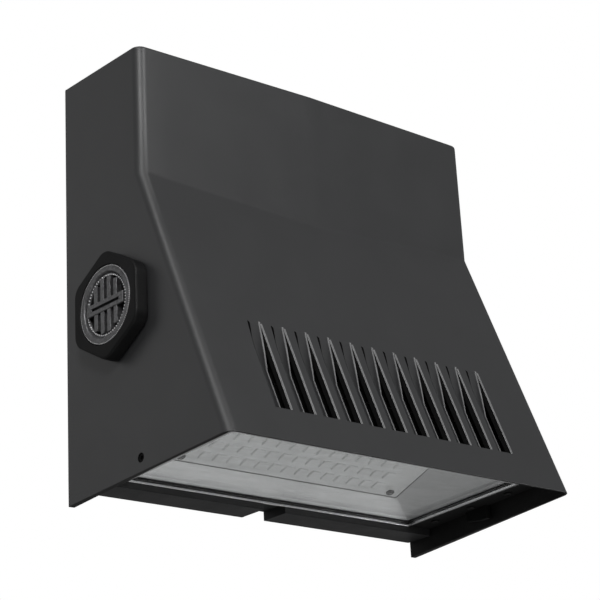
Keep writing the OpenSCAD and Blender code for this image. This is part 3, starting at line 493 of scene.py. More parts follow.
def web(s):
    """The small flush web left of the slit."""
    right = max(slit_side, web_w * web_share(s))
    # the web's sides and underside take the near-black painted shade
    return [(-web_lap, -web_proud, 0), (right, -web_proud, 1), (right, slit_t, 1),
            (-web_lap, slit_t, 1)]


def right_edge(s):
    """The rounded right edge of the opening, the same all the way down. Its outer faces carry a
    painted highlight, its inner faces the near-black painted shade.
    """
    x = louver_w
    return [(x + edge_lap, -0.02, 2), (x + edge_side, -0.01, 2), (x - edge_reach, edge_step, 1),
            (x - edge_side, edge_t, 1), (x + edge_lap, edge_t, 1)]


blade_stops = (-0.8, -0.01, 0.6, 2, 4, 7, 10, 14, 18, 22, 26, 29, 33, 40, 48, 56, 58.3)
web_stops = (-0.3, 0.0, 4, 8, 12, 15.8)
edge_stops = (0.3, 4, 30, 57.9)
blade_mesh = bmesh.new()
for start in louver_starts:
    strip(blade_mesh, start, blade_stops, blade)
    strip(blade_mesh, start, web_stops, web)
    strip(blade_mesh, start, edge_stops, right_edge)
piece("louver_blades", blade_mesh, (dark_coat, painted_shade_black, painted_edge_highlight), "cover", ("hood",),
      smooth=40)

# The two hinge pins: plain steel rods with rounded ends.
# Each is pressed through a pair of ears under the roof and turns in the wall plate's knuckle.
plated_steel = material("plated steel", (0.56, 0.57, 0.58), 0.32, metal=1.0, grain=700,
                        bump=0.00001)
pin_mesh = bmesh.new()
pin_r, pin_over, pin_round, pin_steps = 1.475, 3, 0.4, 32
pin_half = (knuckle_w + 2 * ear_gap + 2 * ear_w + pin_over) / 2
pin_profile = [(0, -pin_half), (pin_r - pin_round, -pin_half), (pin_r, -pin_half + pin_round),
               (pin_r, pin_half - pin_round), (pin_r - pin_round, pin_half), (0, pin_half)]
for side in (-1, 1):
    turned(pin_mesh, pin_profile,
           Matrix.Translation(spot(side * hinge_x, hinge_f, hinge_h)) @ along_x, pin_steps)
piece("hinge_pins", pin_mesh, (plated_steel,), "cover", ("hinge_pins",))

# The lock screws: black socket screws sunk in the side walls.
# Their tips bear on the lens frame's tabs, and they stay in the hood when it swings.
# black screws, darkened further to near-black as painted shade in their sunk holes
black_steel_and_shade = material("black steel darkened as painted shade", (0.006, 0.006, 0.006), 0.6, bump=0.00002, gloss=0.15)
screw_steps, shank_steps = 48, 24
tip_cut, tip_edge, first_turn = 0.4, 0.1, 0.1


def shank(d, length, pitch, tip_len, root_cut, crest_cut):
    """The profile of a threaded shank with a blunt tip, from the tip up."""
    profile = [(0, -length), (d / 2 - tip_cut, -length), (d / 2 - tip_edge, -length + tip_len)]
    for k in range(int((length - tip_cut - tip_len) / pitch)):
        h = -length + tip_len + first_turn + k * pitch
        profile += [(d / 2 - root_cut, h), (d / 2 - crest_cut, h + pitch / 2)]
    return profile


def sink(mesh, top, reaches, place, high, low, taper=1.0):
    """Sinks a recess of these reaches into the top ring of a turned head."""
    turns = even_turns(screw_steps)
    rim = ring_of(mesh, reaches, turns, high, place)
    bottom = ring_of(mesh, [r * taper for r in reaches], turns, low, place)
    bridge(mesh, [top, rim, bottom])
    mesh.faces.new(bottom)


def off_middle(turn, sides):
    """How far this direction is off the middle of the side that it meets."""
    return (turn + pi / sides) % (2 * pi / sides) - pi / sides


def socket_screw(mesh, place, head_d, head_t, d, length, socket):
    """A screw whose head stands on the place, with a six-sided socket and a shank below."""
    r, head_round, socket_share = head_d / 2, 0.3, 0.6
    pitch, tip_len, root_cut = 0.6, 0.4, 0.22
    rings = turned(mesh, [(r, 0), (r, head_t - head_round), (r - head_round, head_t)], place,
                   screw_steps)
    reaches = [socket / 2 / cos(off_middle(t, 6)) for t in even_turns(screw_steps)]
    sink(mesh, rings[-1], reaches, place, head_t, head_t * (1 - socket_share))
    profile = shank(d, length, pitch, tip_len, root_cut, 0)
    turned(mesh, profile + [(d / 2 - tip_edge, -tip_edge), (d / 2, 0), (r, 0)], place, shank_steps)


lock_head_d, lock_head_t, lock_d, lock_len, lock_socket = 4.9, 2.0, 3.0, 1.9, 2.5
lock_mesh = bmesh.new()
for side in (-1, 1):
    seat = side_frame(side, lock_f, lock_h) @ Matrix.Translation((0, 0, -lock_seat))
    socket_screw(lock_mesh, seat, lock_head_d, lock_head_t, lock_d, lock_len, lock_socket)
piece("lock_screws", lock_mesh, (black_steel_and_shade,), "cover", ("lock_screws",))

# The side port's collar: a six-sided nylon fitting with rounded corners and a recess for the plug.
# Its neck passes through the side wall and takes the locknut inside.
port_plastic = material("black nylon", (0.006, 0.006, 0.0063), 0.55, grain=1200, bump=0.00003,
                        mottle=0.08, gloss=0.2)
port_f, port_h = 46.5, 99
collar_af, collar_t, collar_round, plug_d, neck_d, recess = 55, 8.6, 9, 44, 36, 3
neck_len, neck_edge, neck_bore, port_gasket_t = 14, 0.5, 16, 1
fillet, least_round, bore_fit, bore_edge = 1.4, 0.2, 0.3, 0.3
port = side_frame(-1, port_f, port_h)
corner_turns = (-22, -15, -10, -7, -4.7, -2.3, 0, 2.3, 4.7, 7, 10, 15, 22, 30)
hex_turns = [k * pi / 3 + radians(a) for k in range(6) for a in corner_turns]


def hex_reach(turn, shrink):
    """How far a rounded hexagon reaches in this direction."""
    half, round_r = collar_af / 2 - shrink, max(collar_round - shrink, least_round)
    centre = (half - round_r) / cos(pi / 6)
    off = off_middle(turn, 6)
    limit = atan2(round_r * sin(pi / 6), centre + round_r * cos(pi / 6))
    if abs(off) <= limit:
        return centre * cos(off) + sqrt(max(round_r ** 2 - (centre * sin(off)) ** 2, 0))
    return half / cos(pi / 6 - abs(off))


collar_mesh = bmesh.new()
bore_r, bore_h = plug_d / 2 + bore_fit, collar_t - recess
collar_rows = [([hex_reach(t, 0.0) for t in hex_turns], port_gasket_t)]
for a in (0, 18, 36, 54, 72, 90):
    shrink = fillet * (1 - cos(radians(a)))
    collar_rows.append(([hex_reach(t, shrink) for t in hex_turns],
                        collar_t - fillet + fillet * sin(radians(a))))
for r, h in ((bore_r + bore_edge, collar_t), (bore_r, collar_t - bore_edge), (bore_r, bore_h),
             (neck_bore, bore_h), (neck_bore, -neck_len), (neck_d / 2 - neck_edge, -neck_len),
             (neck_d / 2, -neck_len + neck_edge), (neck_d / 2, port_gasket_t)):
    collar_rows.append(([r] * len(hex_turns), h))
bridge(collar_mesh, [ring_of(collar_mesh, reaches, hex_turns, h, port)
                     for reaches, h in collar_rows], closed=True)
piece("port_collar", collar_mesh, (port_plastic,), "cover", ("port_collar",),
      smooth=40)

# The port's flat gasket and its locknut, on either side of the wall.
# The gasket is black rubber under the collar, the nut scalloped nylon screwed on the neck.
seal_rubber = material("black rubber", (0.014, 0.014, 0.014), 0.75, grain=700, bump=0.00004)
gasket_in, gasket_out, gasket_steps = 18.3, 25.65, 64
gasket_mesh = bmesh.new()
turned(gasket_mesh, [(gasket_in, 0), (gasket_out, 0), (gasket_out, port_gasket_t),
                     (gasket_in, port_gasket_t)], port, gasket_steps, closed=True)
piece("port_gasket", gasket_mesh, (seal_rubber,), "cover", ("port_gasket",))
nut_r, nut_bore, nut_gap, nut_t, nut_steps = 25, 18, 0.15, 5, 144
scallop_d, scallop_half, nut_low_edge, nut_high_edge = 2.5, 2.9, 0.6, 0.4
nut_high = -wall - nut_gap
nut_low = nut_high - nut_t
nut_mesh = bmesh.new()
nut_loops = []
for cut, h in ((nut_low_edge, nut_low), (0.0, nut_low + nut_low_edge),
               (0.0, nut_high - nut_high_edge), (nut_high_edge, nut_high)):
    reaches = []
    for t in even_turns(nut_steps):
        scallop = max(0.0, 1 - (abs(off_middle(t, 6)) * nut_r / scallop_half) ** 2)
        reaches.append(nut_r - scallop_d * scallop - cut)
    nut_loops.append(ring_of(nut_mesh, reaches, even_turns(nut_steps), h, port))
nut_loops += [circle(nut_mesh, nut_bore, h, port, nut_steps) for h in (nut_high, nut_low)]
bridge(nut_mesh, nut_loops, closed=True)
piece("port_locknut", nut_mesh, (port_plastic,), "cover", ("port_locknut",),
      smooth=40)

# The port's plug: a die-cast disc with a beaded ring, upright ribs and a slotted bar to turn it.
# Its hollow stem carries a rubber ring and twists home in the collar.
# its strong mottle stands partly for the cast metal's uneven tone and partly for painted glints
plug_metal = material("dark cast metal", (0.15, 0.15, 0.154), 0.36, metal=0.7, grain=700,
                      bump=0.00022, mottle=0.75, rough_spread=0.16)
plug_base, plug_face, stem_r, stem_t, stem_edge = 5.7, 2.7, 15.975, 4, 0.5
plug_r, dish_h, dish_t = plug_d / 2, plug_base - 1.2, 1.2
face_h, stem_low = plug_base + plug_face, plug_base - neck_len
# radius, height, depth of the notches, and the finish of the face that follows; finish 1 is the
# near-black painted shade on the dish's wall and floor
plug_rings = [
    (0, dish_h - dish_t, 0, 0), (stem_r - stem_t, dish_h - dish_t, 0, 0),
    (stem_r - stem_t, stem_low, 0, 0), (stem_r - stem_edge, stem_low, 0, 0),
    (stem_r, stem_low + stem_edge, 0, 0), (stem_r, plug_base, 0, 0),
    (plug_r - 0.4, plug_base, 0, 0), (plug_r, plug_base + 0.4, 0, 0),
    (plug_r, face_h - 0.7, 0, 0), (plug_r - 0.3, face_h - 0.2, 0, 0),
    (plug_r - 0.8, face_h, 0, 0), (18.6, face_h, 0, 0), (18.2, face_h - 0.4, 0, 0),
    (18.0, face_h - 1.6, 0.08, 0), (17.6, face_h - 1.1, 0.8, 0), (16.8, face_h - 1.1, 0.8, 0),
    (16.5, face_h - 1.7, 0.08, 0), (16.2, face_h - 2.2, 0, 1), (15.4, dish_h + 0.2, 0, 1),
    (0, dish_h, 0, 0)]
plug_steps, notches = 192, 48
plug_mesh = bmesh.new()
made_rings = []
for r, h, notch, _ in plug_rings:
    made_rings.append(circle(plug_mesh, r, h, port, plug_steps))
    for k, vert in enumerate(made_rings[-1]):
        lift = notch * (abs(cos(notches * pi * k / plug_steps)) - 1)
        vert.co += port.to_3x3() @ Vector((0, 0, lift))
for k, (_, _, _, finish) in enumerate(plug_rings[:-1]):
    bridge(plug_mesh, made_rings[k:k + 2], finish)


def plug_bar(low_x, high_x, low_y, high_y, low, high, finish=0):
    slab(plug_mesh, [(low_x, low_y), (high_x, low_y), (high_x, high_y), (low_x, high_y)],
         low, high, port, finish)


rib_count, rib_t, rib_pitch, rib_start, rib_drop, dish_r = 4, 3.1, 5.8, 3.0, 0.45, 16.3
foot = dish_h - 0.2
for k in range(rib_count):
    y = (k - (rib_count - 1) / 2) * rib_pitch
    far = sqrt(dish_r ** 2 - (abs(y) + rib_t / 2) ** 2)
    for ends in ((-far, -rib_start), (rib_start, far)):
        plug_bar(*ends, y - rib_t / 2, y + rib_t / 2, foot, face_h - rib_drop)
bar_half, slot_half, slot_far, slot_lap, slot_h = 3.2, 0.8, 12.2, 0.1, 1.5
far = sqrt(dish_r ** 2 - bar_half ** 2)
cheek_h = plug_base + slot_h - slot_lap
# the bar's foot under the slot takes the near-black painted shade
plug_bar(-bar_half, bar_half, -far, far, foot, plug_base + slot_h, 1)
for low, high in ((-bar_half, -slot_half), (slot_half, bar_half)):
    plug_bar(low, high, -far, far, cheek_h, face_h)
for low, high in ((-far, -slot_far), (slot_far, far)):
    plug_bar(-slot_half - slot_lap, slot_half + slot_lap, low, high, cheek_h, face_h)
plug = piece("port_plug", plug_mesh, (plug_metal, painted_shade_black), "plug", ("port_plug",),
             smooth=38)
soften(plug, 0.25, 2, 50)

# tiny beads painted near-white as glints, round the dish and round the rim: radius, count, size and
# height
painted_glint_metal = material("metal painted bright as glints", (0.92, 0.92, 0.93), 0.2, metal=0.1, bump=0.00004)
bead_rows = ((16.7, 60, 0.5, face_h - 1.35), (21.5, 120, 0.3, face_h - 0.15))
beads_mesh = bmesh.new()
for r, count, size, h in bead_rows:
    for t in even_turns(count):
        place = port @ Matrix.Translation((r * cos(t), r * sin(t), h))
        bmesh.ops.create_icosphere(beads_mesh, subdivisions=1, radius=size, matrix=place)
piece("port_plug_beads", beads_mesh, (painted_glint_metal,), "plug", ("port_plug",),
      smooth=80)

# the rubber ring on the stem, squeezed a little flat
ring_h, ring_r, ring_sunk, ring_flat, ring_sides, ring_steps = plug_base - 4, 1.25, 0.2, 0.9, 16, 64
ring_mesh = bmesh.new()
turned(ring_mesh, [(stem_r - ring_sunk + ring_r * cos(t) * ring_flat, ring_h + ring_r * sin(t))
                   for t in even_turns(ring_sides)], port, ring_steps, closed=True)
piece("plug_ring", ring_mesh, (seal_rubber,), "plug", ("plug_ring",))

# The wall plate and its foam pad: a coated casting with a rim and a bottom flange, over dark
# closed-cell foam. These two keep the shapes of the plain model and get rounded edges.
plate_coat = material("plate coat", (0.012, 0.012, 0.0125), 0.55, grain=1500, bump=0.00006,
                      mottle=0.08, gloss=0.3)
foam = material("dark foam", (0.022, 0.022, 0.022), 0.9, grain=2500, bump=0.0003, mottle=0.2)


def dress(node, finish, width=0.0, steps=2):
    """Gives a piece of the plain model its finish and rounded edges."""
    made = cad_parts[node]
    made.data.materials.clear()
    made.data.materials.append(finish)
    if width:
        soften(made, width, steps, 40)


dress("back_plate", plate_coat, 0.5)
dress("wall_gasket", foam, 0.4)

# The brackets and the screws that hold them: folded zinc-plated sheet.
# Each stands on the wall plate by a foot and carries the lens frame on a flange.
zinc_sheet = material("zinc-plated sheet", (0.50, 0.51, 0.52), 0.38, metal=1.0, grain=500,
                      bump=0.00001, mottle=0.12)
web_x, bracket_t, flange_lap = 102.28, 2.5, 0.1
lens_low, lens_rise, frame_up, frame_t = 11.4, 0.036, 0.9, 2.0
flange_back, flange_front, flange_t, flange_w = 22.5, 101, 2, 14.2
foot_low, foot_high, foot_f, foot_t, foot_w = 24.5, 57.5, 3.55, 2, 14.5
bracket_front_h, bracket_dip = 60.5, (29.9, 37.8)


def flange_h(f):
    """The height of the lens frame's upper side, which carries the brackets."""
    return lens_low + lens_rise * f + frame_up + frame_t


flange_low = [(f, flange_h(f)) for f in (flange_back, flange_front)]
flange = flange_low + [(f, z + flange_t) for f, z in reversed(flange_low)]
cheek = [(foot_f, foot_low)] + flange_low + [(flange_front, bracket_front_h), bracket_dip,
                                             (foot_f, foot_high)]
bracket_foot = [(foot_f, foot_low), (foot_f + foot_t, foot_low), (foot_f + foot_t, foot_high),
                (foot_f, foot_high)]
for side, word in ((-1, "left"), (1, "right")):
    bracket_mesh = bmesh.new()
    out = Matrix(((0, 0, side, 0), (-1, 0, 0, 0), (0, 1, 0, 0), (0, 0, 0, 1)))
    slab(bracket_mesh, cheek, web_x, web_x + bracket_t, out)
    slab(bracket_mesh, flange, web_x + flange_lap, web_x + flange_w, out)
    slab(bracket_mesh, bracket_foot, web_x + flange_lap, web_x + foot_w, out)
    bracket = piece("engine_bracket_" + word, bracket_mesh, (zinc_sheet,), "base",
                    ("engine_bracket_" + word,))
    soften(bracket, 0.3)


def pan_screw(mesh, place, size, length):
    """A domed screw head on the place, with a cross recess and a threaded shank below."""
    d, head_d, head_t = size
    r, under, edge_share, dome_low, dome_high = head_d / 2, 0.1, 0.15, 0.35, 0.62
    pitch, tip_len, root_cut, crest_cut = 0.7, 0.5, 0.25, 0.02
    arm, half = r * 0.52, r * 0.11
    profile = shank(d, length, pitch, tip_len, root_cut, crest_cut)
    profile += [(d / 2 - crest_cut, -under), (d / 2 - crest_cut, 0), (r - under, 0),
                (r, edge_share * head_t)]
    profile += [(r * cos(radians(a)) ** 0.6, head_t * (dome_low + dome_high * sin(radians(a))))
                for a in (10, 25, 40, 55, 70)]
    rings = turned(mesh, profile, place, screw_steps)
    cross = []
    for t in even_turns(screw_steps):
        off = abs(off_middle(t, 4))
        reach = arm / cos(off) if off < atan(half / arm) else half / sin(off)
        cross.append(min(reach, arm * 1.02))
    sink(mesh, rings[-1], cross, place, head_t * 0.985, head_t * 0.45, taper=0.8)


def screws(name, places, size, length, finish):
    """A set of like screws, one at each place."""
    mesh = bmesh.new()
    for place in places:
        pan_screw(mesh, place, size, length)
    piece(name, mesh, (finish,), "base", (name,))


# thread, head width and head height
m4_pan, m3_pan, m3_low = (4, 7.5, 2.4), (3, 5, 1.5), (3, 5, 1.3)
face_front = Matrix.Rotation(pi / 2, 4, "X")
foot_x, foot_screw_f, foot_screw_hs = web_x + bracket_t + 6.3, 5.5, (32, 50)
screws("bracket_screws", [Matrix.Translation(spot(side * foot_x, foot_screw_f, z)) @ face_front
                          for side in (-1, 1) for z in foot_screw_hs],
       m4_pan, 5.5, plated_steel)

# The light engine: a finned, black anodised heat sink, and below it the white LED board with its
# yellow chips. All of it lies on one plane tilted to the front, held by screws at its corners.
board_tilt, board_h, board_f, board_hw, board_gap = radians(18), 25.1, 29.9, 85, 8
board_len = front_depth(board_h) - wall / cos(slope_angle) - board_gap - board_f
board_len /= cos(board_tilt) + slope_run * sin(board_tilt)
board_front_hw = board_hw - board_len * cos(board_tilt) * tan(side_draft)
optic_t, pcb_t, sink_t = 1.5, 1.6, 5
board = Matrix.Translation(spot(0, board_f, board_h)) @ Matrix.Rotation(-board_tilt, 4, "X")
black_anodised = material("black anodised aluminium", (0.030, 0.030, 0.032), 0.42, metal=0.6,
                          grain=260, bump=0.000012, mottle=0.12, stretch=(6, 0.4, 6))
board_white = material("white board", (0.78, 0.79, 0.78), 0.35, mottle=0.03, coat=0.3)
phosphor = material("yellow phosphor", (0.80, 0.62, 0.12), 0.5, grain=2500, mottle=0.15)
ivory_plastic = material("ivory plastic", (0.72, 0.69, 0.60), 0.4, grain=1500, bump=0.00002)
dress("heat_sink", black_anodised, 0.35)
dress("led_board", board_white)
dress("led_chips", phosphor)
dress("board_connector", ivory_plastic, 0.3)

flip = Matrix.Rotation(pi, 4, "X")
board_screw_x, board_screw_us = 76, (5, board_len - 7)
screws("board_screws", [board @ Matrix.Translation((x, -u, 0)) @ flip
                        for x in (-board_screw_x, board_screw_x) for u in board_screw_us],
       m3_pan, 5.6, black_steel_and_shade)
sink_screw_h = optic_t + pcb_t + sink_t / 2
screws("sink_screws", [board @ Matrix.Translation((side * (web_x + bracket_t), -share * board_len,
                                                   sink_screw_h))
                       @ Matrix.Rotation(side * pi / 2, 4, "Y")
                       for side in (-1, 1) for share in (0.25, 0.75)],
       m3_pan, 7.5, plated_steel)

# The optic sheet: clear plastic moulded in one piece, a raised square lens over each chip.
# It lies under the board, shows a milky grey from below, and shares the board's screws.
optic_plastic = material("moulded optics", (0.92, 0.925, 0.93), 0.35, mottle=0.04)
optic_cols, optic_rows, pitch_x, optic_w, optic_rise, optic_round = 14, 6, 9.66, 6.4, 1.2, 0.7
first_u, last_u, edge_len = 9.5, 17.6, board_len - 2
pitch_u = (board_len - first_u - last_u) / (optic_rows - 1)
# half width and rise of a square from its foot to its flat top
optic_steps = ((optic_w / 2, -0.3), (optic_w / 2, optic_rise * 0.7),
               (optic_w / 2 - 0.15, optic_rise * 0.9), (optic_w / 2 - 0.45, optic_rise))
sheet_mesh = bmesh.new()
slab(sheet_mesh, [(-board_hw, 0), (-board_front_hw, -edge_len), (board_front_hw, -edge_len),
                  (board_hw, 0)], 0, optic_t, board)
for i in range(optic_cols):
    for j in range(optic_rows):
        x, u = (i - (optic_cols - 1) / 2) * pitch_x, first_u + j * pitch_u
        middle = board @ Matrix.Translation((x, -u, 0))
        rings = []
        for half, rise in optic_steps:
            inner = half - optic_round
            ring = []
            for corner, (cx, cy) in enumerate(((1, 1), (-1, 1), (-1, -1), (1, -1))):
                for swing in (-30, 0, 30):
                    turn = radians(45 + corner * 90 + swing)
                    at = (cx * inner + optic_round * cos(turn),
                          cy * inner + optic_round * sin(turn), -rise)
                    ring.append(sheet_mesh.verts.new(middle @ Vector(at)))
            rings.append(ring)
        bridge(sheet_mesh, rings)
        sheet_mesh.faces.new(rings[-1])
        sheet_mesh.faces.new(rings[0])
piece("optic_sheet", sheet_mesh, (optic_plastic,), "base", ("optic_sheet",),
      smooth=30)

# The reflector: a pressed tray of satin aluminium whose four walls run from lens to optics.
# A narrow flange round its mouth is clamped between the seal and the lens frame.
reflector_metal = material("satin reflector", (0.80, 0.80, 0.81), 0.42, metal=0.55, grain=500,
                           bump=0.00001, mottle=0.04)
# the tray's back, the dark gap of the seam and the skirt are painted near-black as shade
painted_shade_tray_back = material("tray back painted black as shade", (0.010, 0.010, 0.010), 0.7)
sheet_t, tray_lip, tray_inner = 0.9, 1.0, 0.7
trim_t, glass_t, seal_t = 1.25, 1.5, 0.45
back_f, front_f, lens_hw = 21.2, 112.5, 101.2
tray_up = trim_t + glass_t + seal_t


def lens_corners(grow, up):
    """The lens's corners, grown by so much and raised above the trim's underside."""
    return [spot(x * (lens_hw + grow), f, lens_low + lens_rise * f + up)
            for x, f in ((-1, back_f - grow), (1, back_f - grow), (1, front_f + grow),
                         (-1, front_f + grow))]


def board_corners(grow, rise):
    """The corners of the optics' outline, grown by so much and raised off their plane."""
    places = []
    for x, u, out in ((-1, 0, -1), (1, 0, -1), (1, edge_len, 1), (-1, edge_len, 1)):
        half = (board_front_hw if u else board_hw) + grow
        f = board_f + u * cos(board_tilt) + out * grow - rise * sin(board_tilt)
        places.append(spot(x * half, f, board_h + u * sin(board_tilt) + rise * cos(board_tilt)))
    return places


tray_mesh = bmesh.new()
tray_weight = tray_mesh.edges.layers.float.new("bevel_weight_edge")
across, up = 10, 8
tray_skins = []
# the inner skin takes the satin metal; the outer skin, seen through the louvers, is painted black
# as shade
for finish, (grow, rise) in enumerate(((0, 0.0), (sheet_t, -0.15))):
    low, high = lens_corners(grow, tray_up), board_corners(grow, rise)
    rows = []
    for t in range(up + 1):
        row = []
        for c in range(4):
            for s in range(across):
                a = low[c].lerp(low[(c + 1) % 4], s / across)
                b = high[c].lerp(high[(c + 1) % 4], s / across)
                row.append(tray_mesh.verts.new(a.lerp(b, t / up)))
        rows.append(row)
    bridge(tray_mesh, rows, finish)
    tray_skins.append(rows)
for j in (0, up):
    bridge(tray_mesh, [rows[j] for rows in tray_skins])
for c in range(0, 4 * across, across):
    for low, high in zip(tray_skins[0], tray_skins[0][1:]):
        tray_mesh.edges.get((low[c], high[c]))[tray_weight] = 1.0


def four_sided(mesh, rings, finish=0):
    """A frame of four mitred sides, whose section is given as rings of four corners."""
    bridge(mesh, [[mesh.verts.new(p) for p in ring] for ring in rings], finish, closed=True)


four_sided(tray_mesh, [lens_corners(tray_lip, tray_up), lens_corners(tray_lip, tray_up + sheet_t),
                       lens_corners(tray_inner, tray_up + sheet_t), lens_corners(0.0, tray_up)])
# the seam round the optics: a bright edge, then a gap painted black as shade
seam_w, seam_high = 0.5, 0.2
for out, low, finish in ((0.0, -0.25, 0), (-0.5, -0.06, 1)):
    four_sided(tray_mesh, [board_corners(out, low), board_corners(out, seam_high),
                           board_corners(out - seam_w, seam_high),
                           board_corners(out - seam_w, low)], finish)
# a skirt painted black as shade, closing the gap between the board's front edge and the louvers
skirt_near, skirt_far, skirt_low, skirt_high = edge_len + 1.0, edge_len + 1.6, -0.3, 9.5
slab(tray_mesh, [(-board_front_hw, -skirt_far), (board_front_hw, -skirt_far),
                 (board_front_hw, -skirt_near), (-board_front_hw, -skirt_near)],
     skirt_low, skirt_high, board, 1)
tray = piece("reflector_tray", tray_mesh, (reflector_metal, painted_shade_tray_back), "base", ("reflector",),
             smooth=20)
soften(tray, 0.7, 3, weights=True)

# The lens: a black seal, a clear pane, the bright trim under its edge and the dark frame below.
# The frame is screwed to the brackets' flanges and fills the mouth of the hood.
clear_glass = bpy.data.materials.new("clear glass")
clear_glass.use_nodes = True
tree = clear_glass.node_tree
tree.nodes.remove(tree.nodes["Principled BSDF"])
clear = add_node(tree, "ShaderNodeBsdfTransparent", {"Color": (0.985, 0.99, 0.988, 1)})
shine = add_node(tree, "ShaderNodeBsdfGlossy", {"Roughness": 0.04})
edge_on = add_node(tree, "ShaderNodeFresnel", {"IOR": 1.35})
smear = add_node(tree, "ShaderNodeTexNoise", {"Scale": 14})
film = add_node(tree, "ShaderNodeMapRange",
                {"Value": smear.outputs["Fac"], "To Min": 0.35, "To Max": 0.6})
share = add_node(tree, "ShaderNodeMath", {0: edge_on.outputs["Fac"], 1: film.outputs["Result"]},
                 "MULTIPLY")
mixed = add_node(tree, "ShaderNodeMixShader", {
    "Fac": share.outputs[0], 1: clear.outputs["BSDF"], 2: shine.outputs["BSDF"]})
fill(tree, tree.nodes["Material Output"], {"Surface": mixed.outputs["Shader"]})
bright_trim = material("bright trim", (0.90, 0.90, 0.91), 0.25, metal=1.0, grain=400,
                       bump=0.000006, mottle=0.05)
frame_coat = material("black frame coat", (0.004, 0.004, 0.004), 0.6, grain=1500, bump=0.00004,
                      gloss=0.15)
seal_out, seal_in, pane_out, air = 1.2, -0.4, 1.3, 0.02
seal_mesh = bmesh.new()
four_sided(seal_mesh, [lens_corners(grow, tray_up - drop) for grow, drop in (
    (seal_out, seal_t), (seal_out, air), (seal_in, air), (seal_in, seal_t))])
piece("lens_seal", seal_mesh, (seal_rubber,), "base", ("lens_seal",))
glass_mesh = bmesh.new()
glass_ends = [[glass_mesh.verts.new(p) for p in lens_corners(pane_out, h)]
              for h in (trim_t + air, trim_t + glass_t - air)]
bridge(glass_mesh, glass_ends)
for end in glass_ends:
    glass_mesh.faces.new(end)
piece("lens_glass", glass_mesh, (clear_glass,), "base", ("lens_glass",))
trim_w = 1.5
trim_mesh = bmesh.new()
four_sided(trim_mesh, [lens_corners(trim_w, 0), lens_corners(trim_w, trim_t),
                       lens_corners(0, trim_t), lens_corners(0, 0)])
trim = piece("lens_trim", trim_mesh, (bright_trim,), "base", ("lens_trim",))
soften(trim, 0.3)

frame_mesh = bmesh.new()
trim_fit, rim_w, rim_low, rim_lap = 0.15, 1.5, 0.1, 1
rim_in, rim_out = trim_w + trim_fit, trim_w + trim_fit + rim_w
four_sided(frame_mesh, [lens_corners(rim_in, rim_low), lens_corners(rim_out, rim_low),
                        lens_corners(rim_out, frame_up + rim_lap),
                        lens_corners(rim_in, frame_up + rim_lap)])
gap, chamfer, mouth_fit, mouth_cut = wall + 0.7, 4.5, 0.3, 1
frame_front, frame_back = 123.2, 20.3


def frame_loop(up):
    """Both outlines of the frame's plate at one height, six points each."""
    outer, inner = [], []
    for side in (-1, 1):
        for f, cut, inner_f in ((frame_back, 0, back_f - trim_w),
                                (frame_front - chamfer, 0, front_f + trim_w - mouth_cut),
                                (frame_front, chamfer, front_f + trim_w)):
            outer_z = lens_low + lens_rise * f + up
            inner_z = lens_low + lens_rise * inner_f + up
            inner_x = lens_hw + trim_w + mouth_fit - (mouth_cut if cut else 0)
            outer.append(spot(side * (half_width(f, outer_z) - gap - cut), f, outer_z))
            inner.append(spot(side * inner_x, inner_f, inner_z))
    order = (0, 1, 2, 5, 4, 3)
    return [outer[k] for k in order], [inner[k] for k in order]


low_outer, low_inner = frame_loop(frame_up)
high_outer, high_inner = frame_loop(frame_up + frame_t)
bridge(frame_mesh, [[frame_mesh.verts.new(p) for p in loop]
                    for loop in (low_outer, low_inner, high_inner, high_outer)], closed=True)
tab_t, tab = 3, ((-5.5, -8.7), (4.2, -8.7), (4.2, -3), (2.5, 8.7), (-5.5, 8.7))
for side in (-1, 1):
    place = side_frame(side, lock_f, lock_h) @ Matrix.Translation((0, 0, -gap - tab_t))
    slab(frame_mesh, [(side * x, y) for x, y in tab], 0, tab_t, place)
frame_plate = piece("lens_frame", frame_mesh, (frame_coat,), "base", ("lens_frame",))
soften(frame_plate, 0.3)

web_front = board_f + board_len * cos(board_tilt) - sink_t
frame_screw_x = web_x + bracket_t + 6.5
first, last = 34.5, web_front - 5
screws("frame_screws", [Matrix.Translation(spot(side * frame_screw_x, f,
                                                lens_low + lens_rise * f + frame_up)) @ flip
                        for side in (-1, 1) for f in (first, (first + last) / 2, last)],
       m3_low, 7, black_steel_and_shade)

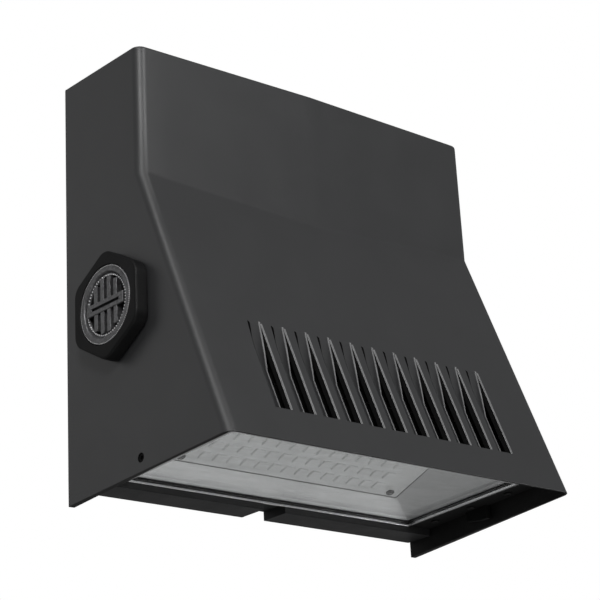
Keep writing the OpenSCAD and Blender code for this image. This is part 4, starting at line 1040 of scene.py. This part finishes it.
# The electrics on the wall plate, between hinge and light engine: the driver, the surge
# protector under its steel saddle, the supply terminals and the earth screw.
driver_case = material("driver case", (0.60, 0.61, 0.62), 0.42, metal=0.7, grain=800,
                       bump=0.00002, mottle=0.08)
blue_plastic = material("blue plastic", (0.045, 0.10, 0.26), 0.4, grain=1200, bump=0.00002)
green_steel = material("green steel", (0.03, 0.26, 0.07), 0.4, metal=0.4, bump=0.00002)
dress("driver", driver_case, 0.8, 3)
dress("surge_protector", blue_plastic, 0.8, 3)
dress("surge_strap", zinc_sheet, 0.3)
dress("terminal_block", ivory_plastic, 0.5)
dress("terminal_screws", plated_steel, 0.2)
dress("ground_screw", green_steel, 0.2)
driver_screw_x, driver_screw_f, driver_screw_h = 76, 8.5, 118
screws("driver_screws", [Matrix.Translation(spot(side * driver_screw_x, driver_screw_f,
                                                 driver_screw_h)) @ face_front
                         for side in (-1, 1)],
       m4_pan, 5, plated_steel)

# The leads, in smooth plastic insulation, clamped in the pieces that they join.
# Two red ones run from the driver down to the LED board, two black ones from terminals to driver.
dress("dc_leads", material("red lead", (0.42, 0.02, 0.02), 0.4, bump=0.00002))
dress("line_leads", material("black lead", (0.03, 0.03, 0.03), 0.42, bump=0.00002))

# Light: a large soft lamp in front and to the left, weaker ones all round it.
# The surround is plain and pale, and white where it is seen straight.
lamp_aim = (0, -0.05, 0)
lamps = (("front left lamp", (-1.3, -1.45, 0.8), lamp_aim, 0.5, 14),
         ("high left lamp", (-1.0, -0.65, 1.85), lamp_aim, 0.35, 5),
         ("back left lamp", (-1.6, 1.5, 0.7), lamp_aim, 1.2, 1.6),
         ("front lamp", (0.05, -1.7, 0.95), lamp_aim, 0.3, 8),
         ("low right lamp", (1.25, -0.6, -0.75), (0, -0.05, -0.1), 0.4, 6),
         ("back lamp", (1.5, 1.9, 0.9), (0, 0, 0), 0.8, 22),
         ("low lamp", (0.1, -0.7, -1.25), lamp_aim, 1.0, 4.5))
for name, place, aim, size, power in lamps:
    lamp = bpy.data.lights.new(name, "AREA")
    lamp.shape = "SQUARE"
    lamp.size = size
    lamp.energy = power
    made = add_object(name, lamp)
    made.location = place
    made.rotation_mode = "QUATERNION"
    made.rotation_quaternion = (Vector(aim) - Vector(place)).to_track_quat("-Z", "Y")

white = (1, 1, 1, 1)
world = bpy.data.worlds.new("plain surround")
scene.world = world
world.use_nodes = True
tree = world.node_tree
dim = fill(tree, tree.nodes["Background"], {"Color": white, "Strength": 0.19})
full = add_node(tree, "ShaderNodeBackground", {"Color": white, "Strength": 1.0})
seen = add_node(tree, "ShaderNodeLightPath")
mixed = add_node(tree, "ShaderNodeMixShader", {
    "Fac": seen.outputs["Is Camera Ray"], 1: dim.outputs["Background"],
    2: full.outputs["Background"]})
fill(tree, tree.nodes["World Output"], {"Surface": mixed.outputs["Shader"]})
scene.view_settings.view_transform = "Standard"
